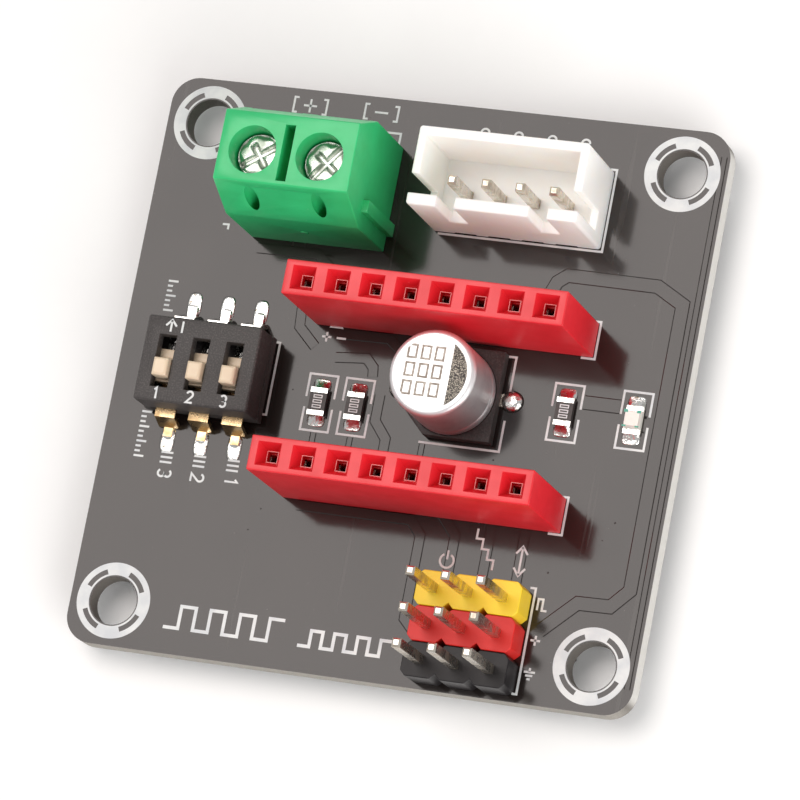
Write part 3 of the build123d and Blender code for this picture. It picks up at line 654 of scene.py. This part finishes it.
def digit(number):
    """The strokes of a plain 1, 2 or 3 in a cell 1 high and about 0.6 wide."""
    if number == 1:
        return [[(0.1, 0.8), (0.3, 1.0), (0.3, 0.0)]]
    if number == 2:
        return [np.concatenate([arc((0.3, 0.72), 0.28, 165, -35), [(0.02, 0.0), (0.62, 0.0)]])]
    upper = arc((0.28, 0.74), 0.26, 150, -90)
    lower = arc((0.28, 0.25), 0.27, 90, -150)
    return [np.concatenate([upper, lower[1:]])]


def placed(strokes, corner, size, turn=0.0):
    """Strokes scaled to a height, turned by degrees and moved to a corner."""
    angle = math.radians(turn)
    spin = np.array([[math.cos(angle), math.sin(angle)], [-math.sin(angle), math.cos(angle)]])
    return [np.asarray(line, float) * size @ spin + np.asarray(corner) for line in strokes]


def pulse_train(start, length, height):
    """A square wave of four pulses, each up, along, down, along."""
    count = 4
    step = length / (2 * count)
    corner = np.arange(4 * count)
    return np.c_[start[0] + step * ((corner + 1) // 2), start[1] + height * (corner // 2 % 2)]


def plus_sign(x, y, arm):
    """The two strokes of a plus."""
    return [[(x - arm, y), (x + arm, y)], [(x, y - arm), (x, y + arm)]]


def box_path(x, y, half_x, half_y):
    """The corners of a box round a point."""
    return [(x - half_x, y - half_y), (x + half_x, y - half_y),
            (x + half_x, y + half_y), (x - half_x, y + half_y)]


def supply_marks():
    """Plus and minus in square brackets behind the terminal, and a corner mark beside it."""
    low, high = corners_mm("terminal_housing")
    plus, minus = (high[0] - 8.0, high[1] + 2.35), (high[0] - 2.6, high[1] + 2.4)
    arm, reach, tall, tab = 0.5, 1.25, 0.55, 0.3
    lines = plus_sign(*plus, arm)
    lines.append([(minus[0] - arm, minus[1]), (minus[0] + arm, minus[1])])
    for x, y in (plus, minus):
        for side in (-1, 1):
            edge = x + side * reach
            end = edge - side * tab
            lines.append([(end, y + tall), (edge, y + tall), (edge, y - tall), (end, y - tall)])
    left = low[0] - 1.9
    lines.append([(left - 0.45, 10.4), (left, 10.42), (left, 10.05)])
    return lines


def switch_marks():
    """In front of the switch three bars and a digit for each way, and beside it two scales."""
    step, scale_x = 0.36, -18.45
    lines = []
    for count, x in ((3, -16.4), (2, -13.9), (1, -11.35)):
        for bar in range(3):
            y = -6.65 - step * bar
            lines.append([(x, y), (x + 0.9, y)])
        lines += placed(digit(count), (x + 0.05, -7.9), 0.95, -90)
    for start, count in ((5.8, 7), (-3.9, 10)):
        for tick in range(count):
            y = start - step * tick
            reach = 0.75 if tick % 3 == 0 else 0.4
            lines.append([(scale_x, y), (scale_x + reach, y)])
    return lines


def pin_marks():
    """Behind the pins a power sign, a stair and a double arrow, and beside their rows a pulse, a plus
    and a ground sign. The stair goes along 0.7 and up 0.5 by turns."""
    pins_x = middle("header_yellow_pins")[0] / MM
    x, y = pins_x - 2.75, -11.75
    lines = [arc((x, y), 0.5, -240, 60, 22), [(x, y + 0.1), (x, y + 0.75)]]
    corner = np.arange(8)
    stair = np.c_[0.7 * ((corner + 1) // 2), 0.5 * (corner // 2) - 0.75]
    lines += placed([stair], (pins_x - 0.15, -9.2), 1.0, -90)
    x, y = pins_x + 2.55, -11.1
    lines.append([(x, y + 1.0), (x, y - 1.0)])
    for side in (-1, 1):
        wing = y + side * 0.5
        lines.append([(x - 0.42, wing), (x, y + side * 1.05), (x + 0.42, wing)])
    x = pins_x + 4.65
    rows = [middle(f"header_{colour}_pins")[1] / MM + 0.3 for colour in ("yellow", "red", "black")]
    low, high = rows[0] - 0.4, rows[0] + 0.4
    lines.append([(x - 0.3, low), (x - 0.3, high), (x + 0.05, high), (x + 0.05, low), (x + 0.4, low)])
    lines += plus_sign(x, rows[1], 0.35)
    for level, half in ((0.3, 0.4), (0.05, 0.26), (-0.2, 0.12)):
        lines.append([(x - half, rows[2] + level), (x + half, rows[2] + level)])
    lines.append([(x, rows[2] + 0.3), (x, rows[2] + 0.6)])
    return lines


def marks():
    """The fine signs, a small ring for each way of the plug, a title of two pulse trains, and a
    triangle, a plus and a minus between the sockets."""
    fine = supply_marks() + switch_marks() + pin_marks()
    x, y = -5.3, 3.1
    fine += plus_sign(x - 0.55, y, 0.35)
    fine.append([(x + 0.2, y), (x + 0.9, y)])
    plug_x = middle("motor_plug_shroud")[0] / MM
    for way in range(4):
        fine.append(arc((plug_x + (way - 1.5) * PLUG_PITCH, 19.2), 0.3, 0, 345, 20))
    x, y = -13.7, -19.1
    title = [pulse_train((x, y), 8.9, 1.6), pulse_train((x + 10.1, y), 6.9, 1.15)]
    triangle = np.array([[(-5.8, 3.8), (-4.72, 3.8)], [(-5.27, 4.5), (-5.25, 4.5)]]) * MM
    parts = inked(fine, FINE) + inked(title, BOLD) + [tiles(triangle, TOP - SUNK, TOP + INK)]
    solid("print_marks", *joined(parts), INK_WHITE, "board_mask")


# ---------- copper under the mask

def raised_trace(path, width):
    """A copper trace under the mask: a low ridge whose sides slope down to the board."""
    rise, slope = 0.02 * MM, 0.09 * MM
    path = np.asarray(path, float) * MM
    crown, faces = stroke(path, width * MM - slope, TOP - SUNK, TOP + rise)
    foot, _ = stroke(path, width * MM + slope, TOP - SUNK, TOP + rise)
    lowered = crown.copy()
    low_points = crown[:, 2] < TOP
    lowered[low_points] = foot[low_points]
    return lowered, faces


def traces():
    """The traces that show through the mask: round the right edge, by the sockets, chips and pins."""
    wide, medium, slim = 1.0, 0.75, 0.42
    routes = [
        (wide, [(9.9, 8.2), (10.2, 9.0), (10.9, 9.55), (17.5, 9.5), (19.5, 8.4), (19.5, -12.15),
                (18.3, -13.45), (15.95, -13.5), (13.6, -15.8)]),
        (slim, [(20.55, 19.3), (20.55, -19.0)]),
        (medium, [(-12.3, 8.95), (-7.7, 9.0), (-6.6, 8.1), (-6.6, 6.6)]),
        (medium, [(-4.6, 3.45), (-1.2, 3.5), (-0.3, 2.8)]),
        (medium, [(-4.9, 1.7), (-2.6, 1.9), (-2.0, 1.3), (-1.9, 0.6)]),
        (medium, [(-8.2, 6.4), (-8.0, 3.6), (-6.6, 2.3)]),
        (medium, [(-1.1, -0.6), (-1.1, -2.5), (-0.1, -3.7), (-0.1, -6.0)]),
        (slim, [(-5.45, -3.9), (-5.45, -6.2)]),
        (slim, [(-2.7, -3.9), (-2.7, -6.2)]),
        (slim, [(2.65, -3.7), (2.65, -6.2)]),
        (medium, [(-5.6, -9.2), (2.9, -9.2), (3.78, -10.2), (3.78, -16.2), (4.5, -16.9)]),
        (medium, [(5.05, -8.5), (6.3, -9.9), (6.3, -12.9)]),
        (medium, [(8.8, -8.9), (8.8, -12.9)]),
        (medium, [(11.3, -8.9), (11.3, -12.9)]),
        (wide, [(13.75, 0.65), (16.4, 0.65)]),
    ]
    parts = [raised_trace(path, width) for width, path in routes]
    solid("mask_over_traces", *joined(parts), TRACE_LACQUER, "board_mask")


def underside_traces():
    """Traces under the board: socket to plug, socket to control pins, and the two supply runs."""
    socket_low, socket_high = -7.55, 5.15
    routes = []
    for way in range(4):
        start, end = 4.77 + PITCH * way, 2.9 + PLUG_PITCH * way
        routes.append((0.8, [(start, socket_high), (start, 9.3), (end, 11.2), (end, 14.15)]))
    for way in range(3):
        start, end = 7.31 + PITCH * way, 6.26 + PITCH * way
        routes.append((0.5, [(start, socket_low), (start, -10.5), (end, -11.6), (end, -14.26)]))
    routes.append((1.4, [(-5.4, 11.8), (-5.39, socket_high)]))
    routes.append((1.4, [(-10.4, 11.8), (-10.4, -2.0), (-5.39, -7.0), (-5.39, socket_low)]))
    routes.append((1.0, [(12.39, socket_low), (15.6, -10.7), (15.6, -17.0), (13.2, -19.34),
                         (11.34, -19.34)]))
    routes += [(0.5, [(x, 12.0), (x, -12.0)]) for x in (-19.2, -18.2)]
    points, faces = joined([raised_trace(path, width) for width, path in routes])
    solid("mask_over_traces_underside", *flipped(points, faces), TRACE_LACQUER, "board_mask")


# ---------- pads and solder

def wedge(x, end, side, height):
    """Solder from the end of a chip down to the rim of its pad: across at u from -1 to 1 and outward at
    v from 0 to 1, the height is a hollow slope, (1 - v)^1.6, rounded off at both flanks by
    (1 - |u|^5)."""
    half_width, reach = 0.66 * MM, 0.8 * MM
    u = np.linspace(-1, 1, 15)
    v = np.linspace(-0.12, 1, 12)[:, None]
    slope = (1 - np.clip(v, 0, 1)) ** 1.6
    flank = 1 - np.abs(u) ** 5
    top = TOP + 0.05 * MM + height * slope * flank
    plan_x = x + half_width * u * (1 - 0.22 * np.clip(v, 0, 1) ** 5)
    plan_y = end + side * reach * v * (1 - 0.1 * u**4)
    return tiles(np.stack([plan_x + 0 * v, plan_y + 0 * u], axis=-1), TOP - SUNK, top)


def solder_on_top():
    """Solder at the surface-mounted parts: a low dome on each pad, higher against the metal."""
    parts = []
    for face, side in (("back", 1), ("front", -1)):
        low, high = corners(f"switch_leads_{face}")
        lift = (1 - side * 0.4, 1 + side * 0.4)
        end = high[1] if side > 0 else low[1]
        for way in (-1, 0, 1):
            x = (low[0] + high[0]) / 2 + way * PITCH * MM
            pad, joint = (x, end + side * 0.15 * MM), (x, end - side * 0.3 * MM)
            parts.append(mound(pad, 0.55 * MM, 1.0 * MM, TOP - SUNK, 0.07 * MM, 3.2))
            parts.append(mound(joint, 0.46 * MM, 0.56 * MM, TOP, 0.2 * MM, 2.6, lift))
    for chip in CHIPS:
        low, high = corners(chip)
        tall = 0.4 if chip.startswith("resistor") else 0.24
        for side, end in ((1, high[1]), (-1, low[1])):
            parts.append(wedge((low[0] + high[0]) / 2, end, side, tall * MM))
    for node, side in (("capacitor_lead_minus", 1), ("capacitor_lead_plus", -1)):
        low, high = corners(node)
        end = high[0] if side > 0 else low[0]
        joint = (end + side * 0.1 * MM, middle(node)[1])
        parts.append(mound(joint, 0.85 * MM, 0.8 * MM, TOP - SUNK, 0.42 * MM, 2.0))
    solid("solder_on_top", *joined(parts), TIN, "solder", smooth=True)


# ---------- capacitor

def can_piece():
    """The drawn can turned from its profile: shallow dished top, round shoulder, straight wall, rolled
    groove above the foot, (0.1 mm) exp(-((z - groove) / 0.16 mm)^2) deep, and a turned-in lip, with the
    bore inside."""
    low, high = corners("capacitor_can")
    centre = middle("capacitor_can")
    radius = (high[0] - low[0]) / 2
    shoulder, lip, wall = 0.42 * MM, 0.3 * MM, 0.3 * MM
    dish, ceiling = high[2] - 0.05 * MM, high[2] - 0.32 * MM
    turn = np.radians(np.linspace(90, 0, 9))
    top = [(0, dish), (radius * 0.5, dish), (radius - shoulder * 1.6, dish),
           (radius - shoulder * 1.3, high[2] - 0.01 * MM)]
    top += [(radius - shoulder + shoulder * math.cos(t), high[2] - shoulder + shoulder * math.sin(t))
            for t in turn]
    groove_z = low[2] + 0.18 * (high[2] - low[2])
    groove = [(radius - 0.1 * MM * math.exp(-((z - groove_z) / (0.16 * MM)) ** 2), z)
              for z in np.linspace(groove_z + 0.5 * MM, groove_z - 0.5 * MM, 15)]
    foot = [(radius - lip + lip * math.cos(t), low[2] + lip - lip * math.sin(t)) for t in turn[::-1]]
    bore = radius - wall
    inside = [(bore * 0.9, low[2]), (bore, low[2] + 0.2 * MM), (bore, high[2] - 0.5 * MM),
              (bore * 0.5, ceiling), (0, ceiling)]
    points, faces = turned(top + groove + foot + inside, centre[:2], 96)
    piece = solid("capacitor_can_drawn", points, faces, drawn_can(), "can_aluminium", smooth=True)
    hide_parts("capacitor_can")


def can_print():
    """On the can's top: the dark segment on the minus side, from a chord out to the circle at
    sqrt(radius^2 - y^2), and three rows of plain bars."""
    low, high = corners("capacitor_can")
    centre = middle("capacitor_can")
    level = high[2] - 0.05 * MM
    radius = (high[0] - low[0]) / 2 - 0.36 * MM
    chord = 1.3 * MM
    across = np.linspace(0, 1, 9)
    half = math.sqrt(radius**2 - chord**2)
    along = np.linspace(-half, half, 25)
    bow = np.sqrt(radius**2 - along**2)
    x = centre[0] + chord + across[:, None] * (bow - chord)
    plan = np.stack([x, centre[1] + along + 0 * x], axis=-1)
    points, faces = tiles(plan[:, 1:-1], level - SUNK, level + INK)
    solid("capacitor_minus_mark", points, faces, sleeve_print(), "can_aluminium")
    x, y = centre[:2] / MM
    rows = (1.38, 0.08, -1.22)
    bars = [box_path(x - 1.65 + bar, y + row, 0.3, 0.45) for row in rows for bar in range(3)]
    parts = inked(bars, FINE, level, closed=True)
    solid("capacitor_bars", *joined(parts), varnish_grey(), "can_aluminium")


# ---------- clamp screws

def fading(value, end, soft):
    """A step from 1 to 0 round an end, 1 / (1 + exp((value - end) / soft))."""
    return 1 / (1 + np.exp((value - end) / soft))


def clamp_screw(side, slot_turn):
    """A clamp screw: pan head with a crossed slot and a scalloped rim, and a shank with a helical
    thread. The scallops start at 1.22 mm + 0.13 mm cos(6 turn + 0.6) from the axis. The thread's radius
    is a triangle wave of (height / pitch - turn)."""
    node = f"terminal_screw_{side}"
    low, high = corners(node)
    head, top = (high[0] - low[0]) / 2, high[2]
    shank, pitch, neck = 1.2 * MM, 0.45 * MM, top - 0.8 * MM
    edge, tip = 0.05 * MM, low[2]
    radii = np.append(np.linspace(0, head - 0.06 * MM, 40)[1:], head - 0.02 * MM)
    profile = [(0, top)] + [(r, top) for r in radii] + [(head, top - 0.07 * MM)]
    profile += [(head, neck + 0.06 * MM), (head - edge, neck), (shank, neck)]
    profile += [(shank, z) for z in np.linspace(neck - edge, tip + edge, 70)]
    profile += [(shank * 0.8, tip), (0, tip)]
    slot_angle = math.radians(slot_turn)

    def shape(grid):
        """Cuts the slots and scallops into the head's top and the thread into the shank."""
        x, y, z = grid[..., 0], grid[..., 1], grid[..., 2]
        r = np.hypot(x, y)
        turn = np.arctan2(y, x)
        along = np.abs(x * math.cos(slot_angle) + y * math.sin(slot_angle))
        across = np.abs(-x * math.sin(slot_angle) + y * math.cos(slot_angle))
        half_slot, slot_end, depth = 0.2 * MM, 0.95 * MM, 0.34 * MM
        slots = fading(across, half_slot, edge * 0.6)
        cross_slot = fading(along, half_slot, edge * 0.6) * fading(across, slot_end, edge)
        cone = np.clip(1 - r / (0.62 * MM), 0, 1) * 0.5
        cut = depth * np.maximum(np.maximum(slots, cross_slot), cone)
        rim = 1.22 * MM + 0.13 * MM * np.cos(6 * turn + 0.6)
        fall = np.clip((r - rim) / (head - 1.05 * MM), 0, 1)
        dome = 0.05 * MM * (r / head) ** 2
        on_top = z > top - 0.03 * MM
        z = np.where(on_top, z - cut - dome - 0.16 * MM * fall**1.2, z)
        on_shank = (z < neck - 0.02 * MM) & (r > 0.9 * shank)
        wave = np.abs(((z / pitch - turn / (2 * math.pi)) % 1) * 2 - 1)
        scale = np.where(on_shank, 1 - 0.09 * wave, 1)
        return np.stack([x * scale, y * scale, z], axis=-1)

    points, faces = turned(profile, middle(node)[:2], 120, shape)
    piece = solid(f"clamp_screw_{side}", points, faces, NICKEL, "screw_steel", node, smooth=True)
    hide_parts(node)


# ---------- small prints on the parts

def switch_print():
    """On the switch cover: digits 1 to 3 under the slots and an arrow with a bar at the on end."""
    low, high = corners_mm("switch_cover")
    middle_x = middle("switch_cover")[0] / MM
    size = 0.84
    lines = []
    for number in (1, 2, 3):
        x = middle_x + (number - 2) * PITCH - 0.3
        lines += placed(digit(number), (x, low[1] + 0.16), 0.8)
    x, y = low[0] + 1.85, high[1] - 1.12
    lines.append([(x, y), (x, y + size)])
    lines.append([(x - 0.4, y + 0.42), (x, y + 0.86), (x + 0.4, y + 0.42)])
    lines.append([(x + 0.85, y), (x + 0.85, y + size)])
    parts = inked(lines, FINE, corners("switch_cover")[1][2])
    solid("switch_cover_print", *joined(parts), INK_WHITE, "switch_black")


def resistor_print():
    """Three short bars across each resistor's glaze."""
    parts = []
    for node in CHIPS[:3]:
        x, y = middle(node)[:2] / MM
        bars = [box_path(x, y + bar * 0.36, 0.3, 0.09) for bar in (-1, 0, 1)]
        parts += inked(bars, FINE / 2, corners(node)[1][2], closed=True)
    solid("resistor_bars", *joined(parts), INK_WHITE, "resistor_glaze")


def throat_rims():
    """A paler, glossier square rim at the throat of every socket way: a painted highlight on the
    throat's edge.
    """
    parts = []
    for row in ("upper", "lower"):
        low, high = corners(f"socket_{row}_housing")
        first = corners_mm(f"socket_{row}_contacts")[0][0] + 0.65
        y = (low[1] + high[1]) / 2 / MM
        level = high[2] - 1.0 * MM
        for way in range(8):
            rim = np.array(box_path(first + way * PITCH, y, 0.4, 0.4)) * MM
            parts.append(stroke(rim, 0.06 * MM, level - 0.02 * MM, level + 0.03 * MM, closed=True))
    solid("socket_throat_rims", *joined(parts), THROAT_HIGHLIGHT, "socket_red_nylon")


def lamp_corners():
    """Teal lacquer on the four corners of the lamp's clear block."""
    low, high = corners_mm("lamp_lens")
    level = corners("lamp_lens")[1][2]
    inset, side = 0.01, 0.3
    parts = []
    for left, right in ((low[0] + inset, low[0] + side), (high[0] - side, high[0] - inset)):
        for front, back in ((low[1] + inset, low[1] + 0.12), (high[1] - 0.22, high[1] - inset)):
            plan = np.array([[(left, front), (left, back)], [(right, front), (right, back)]]) * MM
            parts.append(tiles(plan, level - SUNK, level + INK / 2))
    solid("lamp_lacquer_patches", *joined(parts), teal_lacquer(), "lamp_board")


# ---------- stage

def stage():
    """A pale floor under the tails, a softbox high over the back left, a second one low on the front
    right and an even white surround."""
    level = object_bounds()[0][2] - 0.02 * MM
    reach = 1.2
    plan = np.array([[(-reach, -reach), (-reach, reach)], [(reach, -reach), (reach, reach)]])
    meshed("floor", *tiles(plan, level - MM, level), bench_white())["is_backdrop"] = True
    world = bpy.data.worlds.new("surround")
    world.use_nodes = True
    surround = world.node_tree.nodes["Background"].inputs
    surround["Color"].default_value = (1.0, 0.995, 0.99, 1)
    surround["Strength"].default_value = 0.5
    bpy.context.scene.world = world
    bpy.context.scene.view_settings.view_transform = "Standard"
    add_softbox("softbox_high", (-0.30, 0.2, 0.93), 0.55, 0.36, 3.65, (1.0, 0.935, 0.9))
    add_softbox("softbox_low", (0.68, -0.58, 0.45), 0.6, 0.42, 4.1, (1.0, 0.985, 0.965))


def add_softbox(name, direction, distance, side, brightness, colour):
    """A square area light aimed at the board; its power is brightness times pi times its area."""
    light = bpy.data.lights.new(name, "AREA")
    light.shape = "SQUARE"
    light.size = side
    light.energy = brightness * math.pi * side**2
    light.color = colour
    lamp = linked(name, light)
    toward = Vector(direction).normalized()
    lamp.location = toward * distance
    lamp.rotation_euler = toward.to_track_quat("Z", "Y").to_euler()


def camera():
    """A long lens on the front right, high above the board and rolled with it."""
    aim = Vector((0.42, -0.79, 1.6)) * MM
    distance = 0.4027
    azimuth, elevation, roll = math.radians(57.56), math.radians(68.1), math.radians(-48.51)
    level = math.cos(elevation)
    forward = Vector((-math.sin(azimuth) * level, math.cos(azimuth) * level, -math.sin(elevation)))
    flat_right = forward.cross(Vector((0, 0, 1))).normalized()
    flat_up = flat_right.cross(forward)
    right = flat_right * math.cos(roll) + flat_up * math.sin(roll)
    up = right.cross(forward)
    lens = bpy.data.cameras.new("camera")
    lens.lens = 257.6
    lens.clip_start = 0.01
    view = linked("camera", lens)
    rows = [(right[i], up[i], -forward[i], aim[i] - forward[i] * distance) for i in range(3)]
    view.matrix_world = Matrix(rows + [(0, 0, 0, 1)])
    bpy.context.scene.camera = view


# ---------- everything put together

INK_WHITE = screen_ink()
TRACE_LACQUER = traces_lacquer()
TIN = reflowed_tin()
NICKEL = plated("nickel_screw", (0.66, 0.68, 0.64), (0.4, 0.43, 0.38), 0.3, depth=0.012)
GILT = plated("gilt_spring", (0.82, 0.6, 0.34), (0.55, 0.38, 0.2), 0.24)
TINNED = plated("tinned_pin", (0.76, 0.71, 0.63), (0.5, 0.44, 0.36), 0.3)
CAGE = plated("plated_cage", (0.7, 0.68, 0.62), (0.5, 0.48, 0.42), 0.3)
# Pale pink nylon for the throat rims: a painted highlight.
THROAT_HIGHLIGHT = nylon("painted_highlight_rim", (0.85, 0.2, 0.2), (0.7, 0.12, 0.12), 0.25)
SOCKET_RED = nylon("socket_nylon_red", (0.78, 0.018, 0.03), (0.66, 0.012, 0.02), 0.36, glow=0.12)
GREEN = nylon("terminal_polyamide_green", (0.03, 0.54, 0.185), (0.02, 0.45, 0.14), 0.36, glow=0.1)
# The plug's nylon gives off a faint warm light of its own through its emission: a painted glow, not a
# lamp.
WHITE = nylon("plug_nylon_white_painted_glow", (0.95, 0.915, 0.88), (0.91, 0.87, 0.83), 0.34, glow=0.7, reach=2.2,
              Emission_Color=(1.0, 0.88, 0.78, 1), Emission_Strength=0.08)
YELLOW = nylon("strip_nylon_yellow", (0.98, 0.68, 0.035), (0.93, 0.6, 0.03), 0.4, glow=0.1, gloss=0.3)
STRIP_RED = nylon("strip_nylon_red", (0.7, 0.022, 0.018), (0.58, 0.015, 0.012), 0.4, glow=0.1,
                  gloss=0.3)
STRIP_BLACK = nylon("strip_nylon_black", (0.018, 0.016, 0.017), (0.012, 0.01, 0.011), 0.36,
                    gloss=0.22)
CREAM = nylon("slider_cream", (0.82, 0.66, 0.48), (0.72, 0.55, 0.4), 0.42, glow=0.1)
COVER_BLACK = blasted_black("switch_cover_black")
FOOT_BLACK = blasted_black("capacitor_foot_black", (0.03, 0.027, 0.026), 0.006)

NODE_FINISHES = [
    (board_lacquer(), "board"),
    (TIN, "solder_joints_underside switch_leads_back lamp_terminals resistor_*_ends"),
    (TINNED, "socket_*_contacts header_*_pins motor_plug_pin_* terminal_contact_* capacitor_lead_*"),
    (CAGE, "terminal_cage_*"),
    (GILT, "switch_leads_front switch_wiper_*"),
    (COVER_BLACK, "switch_base"),
    (blasted_black("bung_rubber", (0.02, 0.02, 0.02), 0.01), "capacitor_seal"),
    (plated("wound_foil", (0.7, 0.68, 0.62), (0.5, 0.48, 0.44), 0.4), "capacitor_winding"),
    (glazed_film(), "resistor_*_body"),
    (nylon("lamp_board_white", (0.8, 0.78, 0.72), (0.7, 0.68, 0.6), 0.4), "lamp_base"),
    (nylon("lamp_chip_amber", (0.8, 0.6, 0.2), (0.7, 0.5, 0.15), 0.3), "lamp_chip"),
    (lamp_epoxy(), "lamp_lens"),
]
for material, patterns in NODE_FINISHES:
    for pattern in patterns.split():
        for node in fnmatch.filter(frame["nodes"], pattern):
            for held in frame["nodes"][node].material_slots:
                held.material = material

for row in ("upper", "lower"):
    moulding(f"socket_{row}_housing", SOCKET_RED, 0.05)
pin_strip("yellow", YELLOW)
pin_strip("red", STRIP_RED)
pin_strip("black", STRIP_BLACK)
moulding("motor_plug_shroud", WHITE, 0.12)
moulding("terminal_housing", GREEN, 0.06)
HALF_SLOT, SLOT_LONGER, FOOT_SHORTER = 1.75 * MM, 0.3 * MM, 0.36 * MM
slot_end = middle("switch_cover")[1] - HALF_SLOT
moulding("switch_cover", COVER_BLACK, 0.07, slide=(slot_end, -SLOT_LONGER))
moulding("capacitor_base", FOOT_BLACK, 0.1)
for number in (1, 2, 3):
    slider = f"switch_slider_{number}"
    foot_end = corners(slider)[0][1]
    moulding(slider, CREAM, 0.06, slider, slide=(foot_end, FOOT_SHORTER))

hole_rings()
outlines()
marks()
traces()
underside_traces()
solder_on_top()
can_piece()
can_print()
clamp_screw("left", 35)
clamp_screw("right", 52)
switch_print()
resistor_print()
throat_rims()
lamp_corners()
stage()
camera()
